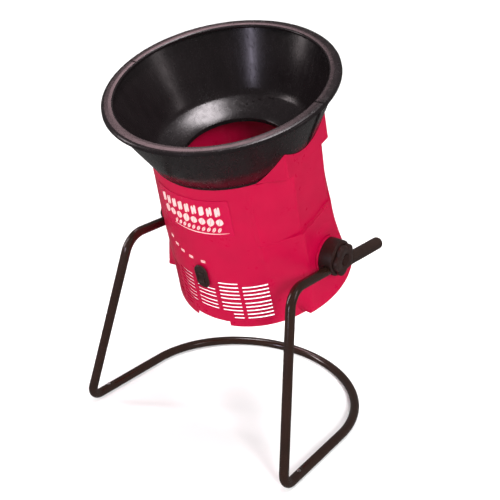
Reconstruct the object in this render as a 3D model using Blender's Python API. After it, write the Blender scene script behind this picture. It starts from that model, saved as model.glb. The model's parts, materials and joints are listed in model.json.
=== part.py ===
"""Electric leaf mulcher: a hopper on a motor housing that tilts between the arms of a bent-tube stand.

Metres, +Z up, -Y is the open front of the stand. Pieces of the machine are modelled along its own axis,
with the tilt pivot as their origin, and hang from the tilt_pivot empty, which leans them forward.
"""
from math import acos, atan2, cos, hypot, pi, radians, sin, tan

import bmesh
import bpy
from mathutils import Matrix, Vector

# Driving dimensions
GAP = 0.0003                    # clearance between touching pieces
TUBE_R = 0.0111                 # 7/8 in stand tube
TUBE_WALL = 0.0015
LEAN = radians(21.5)            # forward lean of the machine at rest
PIVOT = Vector((0.0, 0.0458, 0.466))

# Stand
FOOT = Vector((0.288, -0.2077, TUBE_R))
KNEE = Vector((0.2246, -0.1317, 0.447))
ARM_END = Vector((0.2323, 0.2413, 0.438))
FOOT_BEND = 0.030
KNEE_BEND = 0.048
LOOP_R = 0.283
LOOP_CENTRE_Y = 0.0483
SKID_JOINT = 0.080              # distance from foot corner to the swaged joint
SWAGE_LENGTH = 0.030
SWAGE_R = 0.0091
TUBE_SIDES = 10
GRIP_R = 0.0150
GRIP_LENGTH = 0.1490            # from the arm's end back to just behind the knob
GRIP_DOME = 0.0080

# Hopper, heights along the machine's axis above the pivot
RIM_TOP = 0.4135
RIM_R = 0.254                   # 20 in hopper
RIM_INNER_R = 0.2277
RIM_SKIRT = 0.009
SEAT_H = 0.2670                 # top edge of the round housing wall
SEAT_R = 0.181
THROAT_R = 0.1176
THROAT_H = 0.2391
HOPPER_WALL = 0.0032
CONE_TOP_R = 0.2485
CONE_TOP_H = 0.4095

# Housing
WALL = 0.0035
CONE_CLEARANCE = 0.0035         # between the cheeks' top edges and the hopper cone
FLARE = 0.0494                  # growth of the round wall's radius per metre down
BASE_H = -0.1005
CREASE_H = 0.2664               # lower edge of the thick lip on each cheek
WING_TOP = 0.1050               # where each flared wing starts
CHEEK_X = 0.1925
CHEEK_TAPER = 0.0045            # how far each cheek draws in from the lip down to the wing
LIP_X = 0.1965
WING_X = 0.1955
WING_BASE_X = 0.2275
BOSS_X = 0.2065
BOSS_R = 0.0440
BOSS_BACK = 0.2000              # inner end of the boss that carries the stud
ROW_PITCH = 0.0110
SLOT_HALF = 0.00275
LOWER_ROWS = tuple(-0.0915 + ROW_PITCH * i for i in range(5))
UPPER_ROWS = tuple(-0.0340 + ROW_PITCH * i for i in range(5))
COLUMNS = ((0.0, 7.5), (10.5, 24.5), (27.0, 44.5))
PORT_DEG = 3.0                  # half-width of the switch and inlet openings
PORT_LOW = UPPER_ROWS[-1] - SLOT_HALF
PORT_HIGH = 0.0385
RING_LOW = -0.1180
NOTCH_DEG = 13.6

# Tilt clamp
HUB_R = 0.0415
HUB_IN = BOSS_X + GAP
HUB_FLOOR = 0.2340              # bottom of the recess round the knob's neck
HUB_OUT = 0.2415
STUD_R = 0.0050
KNOB_R = 0.0385
KNOB_LOBES = 5
KNOB_IN = 0.2420
KNOB_OUT = 0.2540
KNOB_NECK_R = 0.0116
HUB_RECESS_R = 0.0120
KNOB_HOLLOW_R = 0.0315
KNOB_TURN = radians(-27.0)
DISH_R = 0.0150
WELL_R = 0.0092                 # the straight well at the bottom of the dish, round the nut
WELL_TOP = 0.2425
STUD_END = 0.2450
NUT_R = 0.0082
DISH_DEPTH = 0.0160

# Motor and cutter
SPIDER_TOP = 0.1010
SPIDER_LOW = 0.0910
MOTOR_R = 0.0480
MOTOR_LOW = -0.0550
MOTOR_TOP = 0.0800
SHAFT_R = 0.0050
CUTTER_H = 0.1300
CUTTER_R = 0.0950
LINE_REACH = 0.1536             # half-length of a cutting line
LINE_R = 0.0012
LINE_OFFSET = 0.0450            # distance of each cutting line from the shaft
CLIP_X = 0.0550                 # where the clips hold a line
BEARING_BORE = 0.0135
BELL_THICK = 0.0075
COVER_R = 0.0660
COVER_WALL = 0.0025
MOTOR_SCREW_PITCH_R = 0.0360

# Switch and inlet
BEZEL_LIFT = 0.0016             # bezel's back above the wall
BEZEL_THICK = 0.0050
BEZEL_HALF = (0.0165, 0.0320)
WINDOW_HALF = (0.0088, 0.0142)
ROCKER_HALF = (0.0078, 0.0122)
INLET_PROUD = 0.0040
INLET_DEPTH = 0.0340
LEAD_R = 0.0028
LEAD_RUN_R = 0.1700             # radius at which the lead runs round the wall

RED = (0.62, 0.012, 0.055)
BLACK = (0.018, 0.016, 0.018)
STEEL = (0.55, 0.55, 0.56)
COPPER = (0.72, 0.33, 0.16)


def clear_scene():
    for item in list(bpy.data.objects):
        bpy.data.objects.remove(item, do_unlink=True)


def material(name, colour, roughness, metallic):
    found = bpy.data.materials.get(name)
    if found:
        return found
    made = bpy.data.materials.new(name)
    made.use_nodes = True
    shader = made.node_tree.nodes["Principled BSDF"]
    shader.inputs["Base Color"].default_value = (*colour, 1.0)
    shader.inputs["Roughness"].default_value = roughness
    shader.inputs["Metallic"].default_value = metallic
    return made


def finish_mesh(bm, name, skin, parent=None, origin=None, sharp=35):
    """Turn a bmesh into a named object; its vertices move so that its origin is at the given point."""
    if origin is not None:
        bmesh.ops.translate(bm, vec=-Vector(origin), verts=bm.verts)
    bmesh.ops.recalc_face_normals(bm, faces=bm.faces)
    mesh = bpy.data.meshes.new(name)
    bm.to_mesh(mesh)
    bm.free()
    mesh.shade_smooth()
    mesh.set_sharp_from_angle(angle=radians(sharp))
    mesh.materials.append(skin)
    made = bpy.data.objects.new(name, mesh)
    bpy.context.scene.collection.objects.link(made)
    if parent:
        made.parent = parent
    if origin is not None:
        made.location = origin
    return made


def turned_mesh(profile, segments=40):
    """A closed (radius, height) outline spun round the Z axis; if it meets the axis, the solid is full."""
    bm = bmesh.new()
    points = [bm.verts.new((r, 0.0, z)) for r, z in profile]
    edges = [bm.edges.new(pair) for pair in zip(points, points[1:] + points[:1])]
    bmesh.ops.spin(bm, geom=points + edges, cent=(0, 0, 0), axis=(0, 0, 1), angle=2 * pi,
                   steps=segments, use_merge=True)
    bmesh.ops.remove_doubles(bm, verts=bm.verts, dist=1e-6)
    loose = [e for e in bm.edges if not e.link_faces]
    bmesh.ops.delete(bm, geom=loose, context="EDGES")
    axis_faces = [f for f in bm.faces if f.calc_area() < 1e-12]
    bmesh.ops.delete(bm, geom=axis_faces, context="FACES")
    return bm


def turned(name, profile, skin, parent, segments=40):
    return finish_mesh(turned_mesh(profile, segments), name, skin, parent)


def disc_profile(radius, low, high):
    return [(0.0, high), (radius, high), (radius, low), (0.0, low)]


def hexagon(radius):
    return [(radius * cos(k * pi / 3), radius * sin(k * pi / 3)) for k in range(6)]


def ring_profile(inner, outer, low, high):
    return [(inner, high), (outer, high), (outer, low), (inner, low)]


def extrude(bm, face, move):
    grown = bmesh.ops.extrude_face_region(bm, geom=[face])["geom"]
    corners = [g for g in grown if isinstance(g, bmesh.types.BMVert)]
    bmesh.ops.translate(bm, vec=move, verts=corners)


def turn_about_z(bm, angle):
    bmesh.ops.rotate(bm, cent=(0, 0, 0), matrix=Matrix.Rotation(angle, 3, "Z"), verts=bm.verts)


def prism_mesh(outline, low, high):
    """A flat outline extruded along Z."""
    bm = bmesh.new()
    face = bm.faces.new([bm.verts.new((x, y, low)) for x, y in outline])
    extrude(bm, face, (0, 0, high - low))
    return bm


def box_mesh(size, centre):
    bm = bmesh.new()
    bmesh.ops.create_cube(bm, size=1.0)
    bmesh.ops.scale(bm, vec=size, verts=bm.verts)
    bmesh.ops.translate(bm, vec=centre, verts=bm.verts)
    return bm


def point_along_x(bm, side):
    """Turn a piece made along +Z so that it points out along the +X or -X pivot axis."""
    bmesh.ops.rotate(bm, cent=(0, 0, 0), matrix=Matrix.Rotation(side * pi / 2, 3, "Y"), verts=bm.verts)


def combine(target, guide, operation):
    """A Boolean with a hidden guide that shares the target's parent."""
    guide.parent = target.parent
    guide.hide_render = True
    guide.display_type = "WIRE"
    boolean = target.modifiers.new(guide.name, "BOOLEAN")
    boolean.operation = operation
    boolean.solver = "EXACT"
    boolean.object = guide


def cut(target, cutter):
    combine(target, cutter, "DIFFERENCE")


def join(target, guide):
    combine(target, guide, "UNION")


def rounded_path(corners, radii, steps=5):
    """A polyline with each inner corner replaced by an arc of its own radius."""
    path = [corners[0]]
    for before, corner, after, radius in zip(corners, corners[1:], corners[2:], radii):
        a = (before - corner).normalized()
        b = (after - corner).normalized()
        half = a.angle(b) / 2
        reach = radius / tan(half)
        centre = corner + (a + b).normalized() * (radius / sin(half))
        start = corner + a * reach - centre
        end = corner + b * reach - centre
        for i in range(steps + 1):
            path.append(centre + start.slerp(end, i / steps).normalized() * radius)
    path.append(corners[-1])
    return path


def sweep_mesh(path, outer, inner, sides=TUBE_SIDES):
    """A tube along a path; outer and inner are radii at each path point, and an inner of None makes a rod."""
    bm = bmesh.new()
    tangents = []
    for i in range(len(path)):
        step = path[min(i + 1, len(path) - 1)] - path[max(i - 1, 0)]
        tangents.append(step.normalized())
    normal = tangents[0].orthogonal().normalized()
    rings = []
    for i, point in enumerate(path):
        normal = (normal - tangents[i] * normal.dot(tangents[i])).normalized()
        side = tangents[i].cross(normal)
        layers = [outer[i]] if inner is None else [outer[i], inner[i]]
        ring = []
        for radius in layers:
            turn = [2 * pi * k / sides for k in range(sides)]
            spokes = [normal * cos(t) + side * sin(t) for t in turn]
            ring.append([bm.verts.new(point + spoke * radius) for spoke in spokes])
        rings.append(ring)
    for one, two in zip(rings, rings[1:]):
        for layer_a, layer_b in zip(one, two):
            for k in range(sides):
                m = (k + 1) % sides
                bm.faces.new((layer_a[k], layer_a[m], layer_b[m], layer_b[k]))
    for ring in (rings[0], rings[-1]):
        if inner is None:
            bm.faces.new(ring[0])
            continue
        for k in range(sides):
            m = (k + 1) % sides
            bm.faces.new((ring[0][k], ring[0][m], ring[1][m], ring[1][k]))
    return bm


def mirrored(point, side):
    return Vector((point.x * side, point.y, point.z))


# Stand ------------------------------------------------------------------------------------------------

def skid_tangent():
    """Where the straight skid from the foot corner meets the rear arc, and the arc's angle there."""
    dx = FOOT.x
    dy = FOOT.y - LOOP_CENTRE_Y
    angle = atan2(dy, dx) + acos(LOOP_R / hypot(dx, dy))
    return Vector((LOOP_R * cos(angle), LOOP_CENTRE_Y + LOOP_R * sin(angle), TUBE_R)), angle


def joint_point():
    tangent, _ = skid_tangent()
    return FOOT + (tangent - FOOT).normalized() * SKID_JOINT


def build_leg(label, side, steel):
    joint = joint_point()
    corners = [mirrored(p, side) for p in (ARM_END, KNEE, FOOT, joint)]
    path = rounded_path(corners, (KNEE_BEND, FOOT_BEND))
    outer = [TUBE_R] * len(path)
    inner = [TUBE_R - TUBE_WALL] * len(path)
    leg = finish_mesh(sweep_mesh(path, outer, inner), f"stand_leg_{label}", steel)
    drill(leg, f"leg_drill_{label}", side)
    return leg


def build_loop(steel):
    tangent, angle = skid_tangent()
    along = (tangent - FOOT).normalized()
    joint = joint_point() + along * GAP
    steps = 20
    arc = []
    for i in range(steps + 1):
        a = angle + (pi - 2 * angle) * i / steps
        arc.append(Vector((LOOP_R * cos(a), LOOP_CENTRE_Y + LOOP_R * sin(a), TUBE_R)))
    start = [joint - along * SWAGE_LENGTH, joint - along * 0.0001, joint]
    path = start + arc + [mirrored(p, -1) for p in reversed(start)]
    narrow = [SWAGE_R, SWAGE_R, TUBE_R]
    outer = narrow + [TUBE_R] * len(arc) + list(reversed(narrow))
    inner = [SWAGE_R - TUBE_WALL] * len(path)
    loop = finish_mesh(sweep_mesh(path, outer, inner), "stand_rear_loop", steel)
    drill(loop, "loop_drill_right", 1)
    drill(loop, "loop_drill_left", -1)


def screw_spot(side):
    tangent, _ = skid_tangent()
    back = (FOOT - tangent).normalized() * (SWAGE_LENGTH / 2)
    return mirrored(joint_point() + back, side)


def drill(target, name, side):
    """A hole down through the top of the skid for the joint screw."""
    spot = screw_spot(side)
    bm = turned_mesh(disc_profile(0.0024, TUBE_R, 2.4 * TUBE_R), 8)
    bmesh.ops.translate(bm, vec=(spot.x, spot.y, 0), verts=bm.verts)
    cutter = finish_mesh(bm, name, material("cutter", STEEL, 0.5, 0.0))
    cut(target, cutter)


def build_joint_screw(label, side, steel):
    spot = screw_spot(side)
    top = 2 * TUBE_R + GAP
    outline = [(0.0, top + 0.0030), (0.0030, top + 0.0024), (0.0046, top), (0.0021, top),
               (0.0021, TUBE_R + 0.002), (0.0, TUBE_R + 0.001)]
    bm = turned_mesh(outline, 12)
    bmesh.ops.translate(bm, vec=(spot.x, spot.y, 0), verts=bm.verts)
    finish_mesh(bm, f"loop_screw_{label}", steel)


def build_arm_grip(label, side, rubber):
    """A sleeve with a domed end pushed over the free end of an arm."""
    bore = TUBE_R + GAP
    outline = [(0.0, GRIP_DOME), (0.6 * GRIP_R, 0.7 * GRIP_DOME), (0.9 * GRIP_R, 0.2 * GRIP_DOME),
               (GRIP_R, -0.5 * GRIP_DOME), (GRIP_R, -GRIP_LENGTH), (bore, -GRIP_LENGTH), (bore, GAP),
               (0.0, GAP)]
    bm = turned_mesh(outline, 2 * TUBE_SIDES)
    direction = (mirrored(ARM_END, side) - mirrored(KNEE, side)).normalized()
    turn = Vector((0, 0, 1)).rotation_difference(direction).to_matrix()
    bmesh.ops.rotate(bm, cent=(0, 0, 0), matrix=turn, verts=bm.verts)
    bmesh.ops.translate(bm, vec=mirrored(ARM_END, side), verts=bm.verts)
    finish_mesh(bm, f"arm_grip_{label}", rubber)


def build_hub(label, side, black):
    """The clamp disc between arm and housing; the arm lies in a channel across its lower half."""
    outline = [(STUD_R + GAP, HUB_FLOOR), (HUB_RECESS_R, HUB_FLOOR), (HUB_RECESS_R, HUB_OUT),
               (HUB_R - 0.003, HUB_OUT), (HUB_R, HUB_OUT - 0.003), (HUB_R, HUB_IN), (STUD_R + GAP, HUB_IN)]
    bm = turned_mesh(outline, 32)
    point_along_x(bm, side)
    bmesh.ops.translate(bm, vec=PIVOT, verts=bm.verts)
    hub = finish_mesh(bm, f"tilt_hub_{label}", black)
    path = [mirrored(KNEE, side), mirrored(ARM_END, side)]
    channel = sweep_mesh(path, [TUBE_R + 0.0004] * 2, None, 16)
    cutter = finish_mesh(channel, f"hub_channel_{label}", material("cutter", STEEL, 0.5, 0.0))
    cut(hub, cutter)


# Housing ----------------------------------------------------------------------------------------------

def round_radius(h):
    return SEAT_R + (SEAT_H - min(h, SEAT_H)) * FLARE


def ray_on_line(azimuth, p, q):
    """Distance from the axis, along an azimuth in degrees from the front, to the line through p and q."""
    a = radians(azimuth)
    d = Vector((sin(a), -cos(a)))
    run = Vector(q) - Vector(p)
    return (p[0] * run.y - p[1] * run.x) / (d.x * run.y - d.y * run.x)


def side_plan(h):
    """At one height: azimuth where the side starts, edge azimuth, face distance and squareness."""
    if h > CREASE_H:
        return 50.0, 68.1, LIP_X, 1.0
    if h > WING_TOP:
        drawn_in = CHEEK_TAPER * (CREASE_H - h) / (CREASE_H - WING_TOP)
        return 50.0, 73.2, CHEEK_X - drawn_in, 1.0
    drop = min((WING_TOP - h) / (WING_TOP - BASE_H), 1.0) ** 2
    return 50.0 + 12.0 * drop, 73.2 - 8.2 * drop, WING_X + (WING_BASE_X - WING_X) * drop, 1.0 - drop


def face_radius(azimuth, h):
    _, _, x, square = side_plan(h)
    return x / cos(radians(90.0 - azimuth)) ** square


def outer_radius(azimuth, h):
    """The housing's outer surface; azimuth is folded into the front right quarter, 0 to 90 degrees."""
    leave, edge, _, _ = side_plan(h)
    base = round_radius(h)
    if azimuth <= leave:
        return base
    if azimuth >= edge:
        return face_radius(azimuth, h)
    start = radians(leave)
    stop = radians(edge)
    rim = face_radius(edge, h)
    p = (base * sin(start), -base * cos(start))
    q = (rim * sin(stop), -rim * cos(stop))
    return ray_on_line(azimuth, p, q)


def quarter_columns(h):
    """Column azimuths of one quarter, front centre to side centre; those past the slots follow the side."""
    leave, edge, _, _ = side_plan(h)
    fixed = [0.0, PORT_DEG, 7.5, 10.5, 17.5, 24.5, 27.0, 35.75, 44.5]
    flank = [leave + (edge - leave) * part for part in (0.0, 0.12, 0.4, 0.7)]
    face = [edge + (90.0 - edge) * k / 3 for k in range(4)]
    return fixed + flank + face


def ring_columns(h):
    """Signed azimuths all the way round, with the folded azimuth of each."""
    quarter = quarter_columns(h)
    right_front = [(a, a) for a in quarter]
    right_back = [(180.0 - a, a) for a in reversed(quarter[:-1])]
    left_back = [(180.0 + a, a) for a in quarter[1:]]
    left_front = [(360.0 - a, a) for a in reversed(quarter[1:-1])]
    return right_front + right_back + left_back + left_front


def cone_limit(radius, clearance):
    """Height at which a wall at this radius meets the underside of the hopper cone."""
    slope = (CONE_TOP_R - SEAT_R) / (CONE_TOP_H - SEAT_H)
    return max(SEAT_H, SEAT_H + (radius - SEAT_R - clearance) / slope)


def shell_levels():
    levels = [BASE_H]
    for centre in LOWER_ROWS + UPPER_ROWS:
        levels += [centre - SLOT_HALF, centre + SLOT_HALF]
    levels += [PORT_HIGH, 0.070, WING_TOP - 0.0005, WING_TOP + 0.0005, 0.190]
    levels += [CREASE_H - 0.0004, CREASE_H + 0.0004, None]
    return levels


def is_open(folded, azimuth, low):
    """True where a cell of the housing wall is cut through, for a slot, the switch or the inlet."""
    rows = [centre - SLOT_HALF for centre in LOWER_ROWS + UPPER_ROWS]
    if folded < PORT_DEG and PORT_LOW - 1e-6 <= low < PORT_HIGH - 1e-6:
        return True
    if 90.0 < azimuth < 270.0 and (folded > 24.0 or low < UPPER_ROWS[0] - ROW_PITCH / 2):
        return False
    if not any(abs(low - row) < 1e-6 for row in rows):
        return False
    if not any(start - 1e-6 <= folded < stop - 1e-6 for start, stop in COLUMNS):
        return False
    if folded < 10.0:
        near_port = low > UPPER_ROWS[3] - ROW_PITCH / 2
        near_notch = low < LOWER_ROWS[1] + ROW_PITCH / 2
        return not (near_port or near_notch)
    if low > UPPER_ROWS[-1] - ROW_PITCH / 2:
        return folded < 25.0
    return folded > 17.0 or low > LOWER_ROWS[2] - ROW_PITCH / 2


def build_wall(name, levels, columns_at, outer_at, inner_at, open_at, skin, parent):
    """A tubular wall on a grid of azimuths and heights, with through openings in its open cells.

    Vertices are shared by position, so that cells that shrink to nothing close up cleanly.
    """
    bm = bmesh.new()
    seen = {}

    def vertex(azimuth, radius, h):
        a = radians(azimuth)
        place = (radius * sin(a), -radius * cos(a), h)
        key = tuple(round(c * 1e6) for c in place)
        if key not in seen:
            seen[key] = bm.verts.new(place)
        return seen[key]

    def face(corners):
        unique = []
        for corner in corners:
            if corner not in unique:
                unique.append(corner)
        if len(unique) > 2 and not bm.faces.get(unique):
            bm.faces.new(unique)

    grids = []
    for radius_at in (outer_at, inner_at):
        grid = []
        for level in levels:
            row = []
            for azimuth, folded in columns_at(CREASE_H + 0.01 if level is None else level):
                radius, h = radius_at(folded, level)
                row.append(vertex(azimuth, radius, h))
            grid.append(row)
        grids.append(grid)
    outer, inner = grids
    count = len(outer[0])
    rows = len(levels) - 1

    def cell_open(j, i):
        columns = columns_at(levels[j])
        folded = min(columns[i][1], columns[(i + 1) % count][1])
        return open_at(folded, columns[i][0], levels[j])

    for j in range(rows):
        for i in range(count):
            k = (i + 1) % count
            if cell_open(j, i):
                continue
            face((outer[j][i], outer[j][k], outer[j + 1][k], outer[j + 1][i]))
            face((inner[j][k], inner[j][i], inner[j + 1][i], inner[j + 1][k]))
            if j == 0 or cell_open(j - 1, i):
                face((inner[j][i], inner[j][k], outer[j][k], outer[j][i]))
            if j == rows - 1 or cell_open(j + 1, i):
                face((outer[j + 1][i], outer[j + 1][k], inner[j + 1][k], inner[j + 1][i]))
            if cell_open(j, (i - 1) % count):
                face((outer[j][i], outer[j + 1][i], inner[j + 1][i], inner[j][i]))
            if cell_open(j, k):
                face((outer[j + 1][k], outer[j][k], inner[j][k], inner[j + 1][k]))
    bmesh.ops.delete(bm, geom=[v for v in bm.verts if not v.link_faces], context="VERTS")
    bmesh.ops.recalc_face_normals(bm, faces=bm.faces)
    bmesh.ops.dissolve_limit(bm, angle_limit=radians(0.3), verts=bm.verts, edges=bm.edges)
    bmesh.ops.triangulate(bm, faces=bm.faces)
    return finish_mesh(bm, name, skin, parent)


def shell_point(folded, level, inset):
    """Radius and height of the housing surface; the last level follows the hopper cone."""
    if level is not None:
        return outer_radius(folded, level) - inset, level
    radius = outer_radius(folded, SEAT_H) - inset
    return radius, cone_limit(radius, CONE_CLEARANCE)


def build_housing(red, parent):
    housing = build_wall(
        "housing", shell_levels(), ring_columns,
        lambda folded, level: shell_point(folded, level, 0.0),
        lambda folded, level: shell_point(folded, level, WALL),
        is_open, red, parent)
    for label, side in (("left", -1), ("right", 1)):
        clear = turned_mesh(disc_profile(BOSS_R + 0.0005, 0.1500, 0.2600), 24)
        point_along_x(clear, side)
        cut(housing, finish_mesh(clear, f"boss_hole_{label}", red, parent))
        boss = turned_mesh(ring_profile(STUD_R + GAP, BOSS_R, BOSS_BACK, BOSS_X), 24)
        point_along_x(boss, side)
        finish_mesh(boss, f"pivot_boss_{label}", red, parent)


def build_base_ring(red, parent):
    levels = [RING_LOW, -0.1052, BASE_H - GAP]
    columns = [(7.5 * k, 0.0) for k in range(48)]
    notch = [(NOTCH_DEG, 0.0), (180 - NOTCH_DEG, 0.0), (180 + NOTCH_DEG, 0.0), (360 - NOTCH_DEG, 0.0)]
    columns = sorted(c for c in columns + notch if min(abs(c[0] - n[0]) for n in notch) > 2 or c in notch)

    def open_at(_, azimuth, low):
        turned_from = min(abs((azimuth - centre + 180) % 360 - 180) for centre in (0, 180))
        starts_inside = turned_from < NOTCH_DEG - 0.01 or azimuth in (180 - NOTCH_DEG, 360 - NOTCH_DEG)
        return low < RING_LOW + 1e-6 and starts_inside

    build_wall("base_ring", levels, lambda _: columns,
               lambda _, level: (round_radius(level) - 0.0006, level),
               lambda _, level: (round_radius(level) - 0.0046, level), open_at, red, parent)


def build_panel(name, half_deg, low, high, start, stop, skin, parent, steps=14):
    """A thin curved plate that follows the front of the round wall."""
    bm = bmesh.new()
    grid = []
    for k in range(steps + 1):
        a = radians(-half_deg + 2 * half_deg * k / steps)
        ring = []
        for h, lift in ((low, start), (high, start), (high, stop), (low, stop)):
            r = round_radius(h) + lift
            ring.append(bm.verts.new((r * sin(a), -r * cos(a), h)))
        grid.append(ring)
    for one, two in zip(grid, grid[1:]):
        for m in range(4):
            n = (m + 1) % 4
            bm.faces.new((one[m], two[m], two[n], one[n]))
    bm.faces.new(grid[0])
    bm.faces.new(grid[-1])
    return finish_mesh(bm, name, skin, parent)


# Hopper -----------------------------------------------------------------------------------------------

def build_hopper(black, parent):
    seat = SEAT_H + 2 * GAP
    collar = SEAT_R - WALL - 0.0012
    cone = [
        (CONE_TOP_R, CONE_TOP_H), (SEAT_R, seat), (collar, seat), (collar, seat - 0.0040),
        (THROAT_R + 0.003, THROAT_H - 0.0030), (THROAT_R + 0.003, THROAT_H - 0.0100),
        (THROAT_R, THROAT_H - 0.0100), (THROAT_R, THROAT_H), (collar - 0.0010, SEAT_H + 0.0010),
        (CONE_TOP_R - HOPPER_WALL, CONE_TOP_H)]
    turned("hopper_cone", cone, black, parent)
    skirt = RIM_TOP - RIM_SKIRT
    lip = 0.0028
    rim = [
        (RIM_INNER_R, RIM_TOP), (RIM_R, RIM_TOP), (RIM_R, skirt), (RIM_R - lip, skirt),
        (RIM_R - lip, RIM_TOP - 0.0032), (RIM_INNER_R + lip, RIM_TOP - 0.0032),
        (RIM_INNER_R + lip, RIM_TOP - 0.0080), (RIM_INNER_R, RIM_TOP - 0.0080)]
    turned("hopper_rim", rim, black, parent)


# Motor and cutter -------------------------------------------------------------------------------------

def build_spider(black, parent):
    """The motor mount: a hub plate and four arms out to a ring just inside the housing wall."""
    ring_out = round_radius(SPIDER_TOP) - WALL - 0.0022
    hub = turned_mesh(ring_profile(0.0150, 0.0680, SPIDER_LOW, SPIDER_TOP), 32)
    spider = finish_mesh(hub, "motor_mount", black, parent)
    ring = turned_mesh(ring_profile(ring_out - 0.006, ring_out, SPIDER_LOW, SPIDER_TOP), 36)
    pieces = [finish_mesh(ring, "mount_ring_guide", black, parent)]
    for k in range(4):
        arm = box_mesh((0.0140, ring_out - 0.066, 0.0080),
                       (0, -(ring_out + 0.061) / 2, (SPIDER_LOW + SPIDER_TOP) / 2))
        turn_about_z(arm, pi / 4 + k * pi / 2)
        pieces.append(finish_mesh(arm, f"mount_arm_guide_{k}", black, parent))
    for piece in pieces:
        join(spider, piece)
    for k in range(3):
        a = k * 2 * pi / 3
        spot = (MOTOR_SCREW_PITCH_R * sin(a), -MOTOR_SCREW_PITCH_R * cos(a), 0)
        hole = turned_mesh(disc_profile(0.0026, SPIDER_LOW - 0.002, SPIDER_TOP + 0.002), 8)
        bmesh.ops.translate(hole, vec=spot, verts=hole.verts)
        cut(spider, finish_mesh(hole, f"mount_hole_{k}", black, parent))
        head = SPIDER_TOP + GAP
        outline = [(0.0, head + 0.0030), (0.0046, head + 0.0022), (0.0046, head), (0.0023, head),
                   (0.0023, MOTOR_TOP + 0.0080), (0.0, MOTOR_TOP + 0.0080)]
        screw = turned_mesh(outline, 12)
        bmesh.ops.translate(screw, vec=spot, verts=screw.verts)
        finish_mesh(screw, f"motor_screw_{k + 1}", material("steel", STEEL, 0.3, 1.0), parent)


def build_motor(steel, black, parent):
    can = ring_profile(MOTOR_R - 0.0016, MOTOR_R, MOTOR_LOW + GAP, MOTOR_TOP - GAP)
    turned("motor_can", can, steel, parent, 32)
    for label, low in (("upper", MOTOR_TOP), ("lower", MOTOR_LOW - BELL_THICK)):
        bell = ring_profile(BEARING_BORE, MOTOR_R, low, low + BELL_THICK)
        turned(f"{label}_end_bell", bell, steel, parent, 32)
        bearing = ring_profile(SHAFT_R + GAP, BEARING_BORE - GAP, low, low + BELL_THICK)
        turned(f"{label}_bearing", bearing, steel, parent, 24)
    turned("stator_core", ring_profile(0.0310, MOTOR_R - 0.0020, 0.0, 0.0550), steel, parent, 32)
    for label, side in (("left", -1), ("right", 1)):
        holder = box_mesh((0.0240, 0.0110, 0.0090), (side * 0.0325, 0, -0.0250))
        finish_mesh(holder, f"brush_{label}", black, parent)
    top = SPIDER_LOW - GAP
    low = MOTOR_LOW - 0.0240
    cover = [(COVER_R - COVER_WALL, top), (COVER_R, top), (COVER_R, low + 0.012),
             (COVER_R - 0.012, low), (0.0120, low), (0.0120, low + COVER_WALL),
             (COVER_R - 0.0130, low + COVER_WALL), (COVER_R - COVER_WALL, low + 0.0130)]
    turned("motor_cover", cover, black, parent, 32)


def build_rotor(steel, black, copper, parent):
    shaft_low = MOTOR_LOW - 0.0100
    shaft_top = CUTTER_H + 0.0200
    turned("motor_shaft", disc_profile(SHAFT_R, shaft_low, shaft_top), steel, parent, 16)
    slip = SHAFT_R + GAP
    turned("armature", ring_profile(slip, 0.0290, 0.0020, 0.0530), copper, parent, 24)
    turned("commutator", ring_profile(slip, 0.0185, -0.0330, -0.0160), copper, parent, 24)
    fan = turned_mesh(ring_profile(slip, 0.0400, 0.0620, 0.0640), 24)
    wheel = finish_mesh(fan, "cooling_fan", black, parent)
    for k in range(8):
        blade = box_mesh((0.0016, 0.0250, 0.0100), (0, -0.0255, 0.0685))
        turn_about_z(blade, k * pi / 4)
        join(wheel, finish_mesh(blade, f"fan_blade_guide_{k}", black, parent))
    low = CUTTER_H - 0.0040
    high = CUTTER_H + 0.0040
    head = [(slip, high), (CUTTER_R - 0.0020, high), (CUTTER_R, CUTTER_H), (CUTTER_R - 0.0020, low),
            (0.0300, low), (0.0200, low - 0.0130), (slip, low - 0.0130)]
    turned("cutter_head", head, black, parent, 36)
    body = prism_mesh(hexagon(0.0095), high + GAP, high + 0.0090)
    bore = turned_mesh(disc_profile(SHAFT_R + GAP, high - 0.001, high + 0.0120), 12)
    holder = finish_mesh(body, "head_nut", steel, parent)
    cut(holder, finish_mesh(bore, "nut_bore", steel, parent))
    for label, sign in (("a", 1), ("b", -1)):
        offset = LINE_OFFSET * sign
        height = high + LINE_R + GAP
        path = [Vector((-LINE_REACH, offset, height)), Vector((LINE_REACH, offset, height))]
        rod = sweep_mesh(path, [LINE_R] * 2, None, 6)
        finish_mesh(rod, f"cutting_line_{label}", material("nylon", (0.75, 0.72, 0.62), 0.4, 0.0), parent)
        for side in (-1, 1):
            word = "left" if side < 0 else "right"
            bridge = box_mesh((0.0140, 0.0120, 0.0060), (side * CLIP_X, offset, high + 0.0030 + GAP))
            ends = [Vector((side * (CLIP_X + reach), offset, height)) for reach in (-0.015, 0.015)]
            tunnel = sweep_mesh(ends, [LINE_R + 0.0006] * 2, None, 6)
            clip = finish_mesh(bridge, f"line_clip_{label}_{word}", steel, parent)
            cut(clip, finish_mesh(tunnel, f"clip_tunnel_{label}_{word}", steel, parent))


# Switch, inlet and tilt clamps ------------------------------------------------------------------------

SWITCH_H = (PORT_LOW + PORT_HIGH) / 2
SWITCH_R = round_radius(SWITCH_H)
PORT_HALF_X = SWITCH_R * sin(radians(PORT_DEG)) - 0.0006
PORT_HALF_Z = (PORT_HIGH - PORT_LOW) / 2 - 0.0008


def rectangle(half_x, half_z):
    return [(-half_x, -half_z), (half_x, -half_z), (half_x, half_z), (-half_x, half_z)]


def oval(half_x, half_z, steps=8):
    """An outline with straight sides and round ends."""
    straight = half_z - half_x
    points = []
    for k in range(steps + 1):
        a = pi * k / steps
        points.append((half_x * cos(a), straight + half_x * sin(a)))
    for k in range(steps + 1):
        a = pi + pi * k / steps
        points.append((half_x * cos(a), -straight + half_x * sin(a)))
    return points


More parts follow.
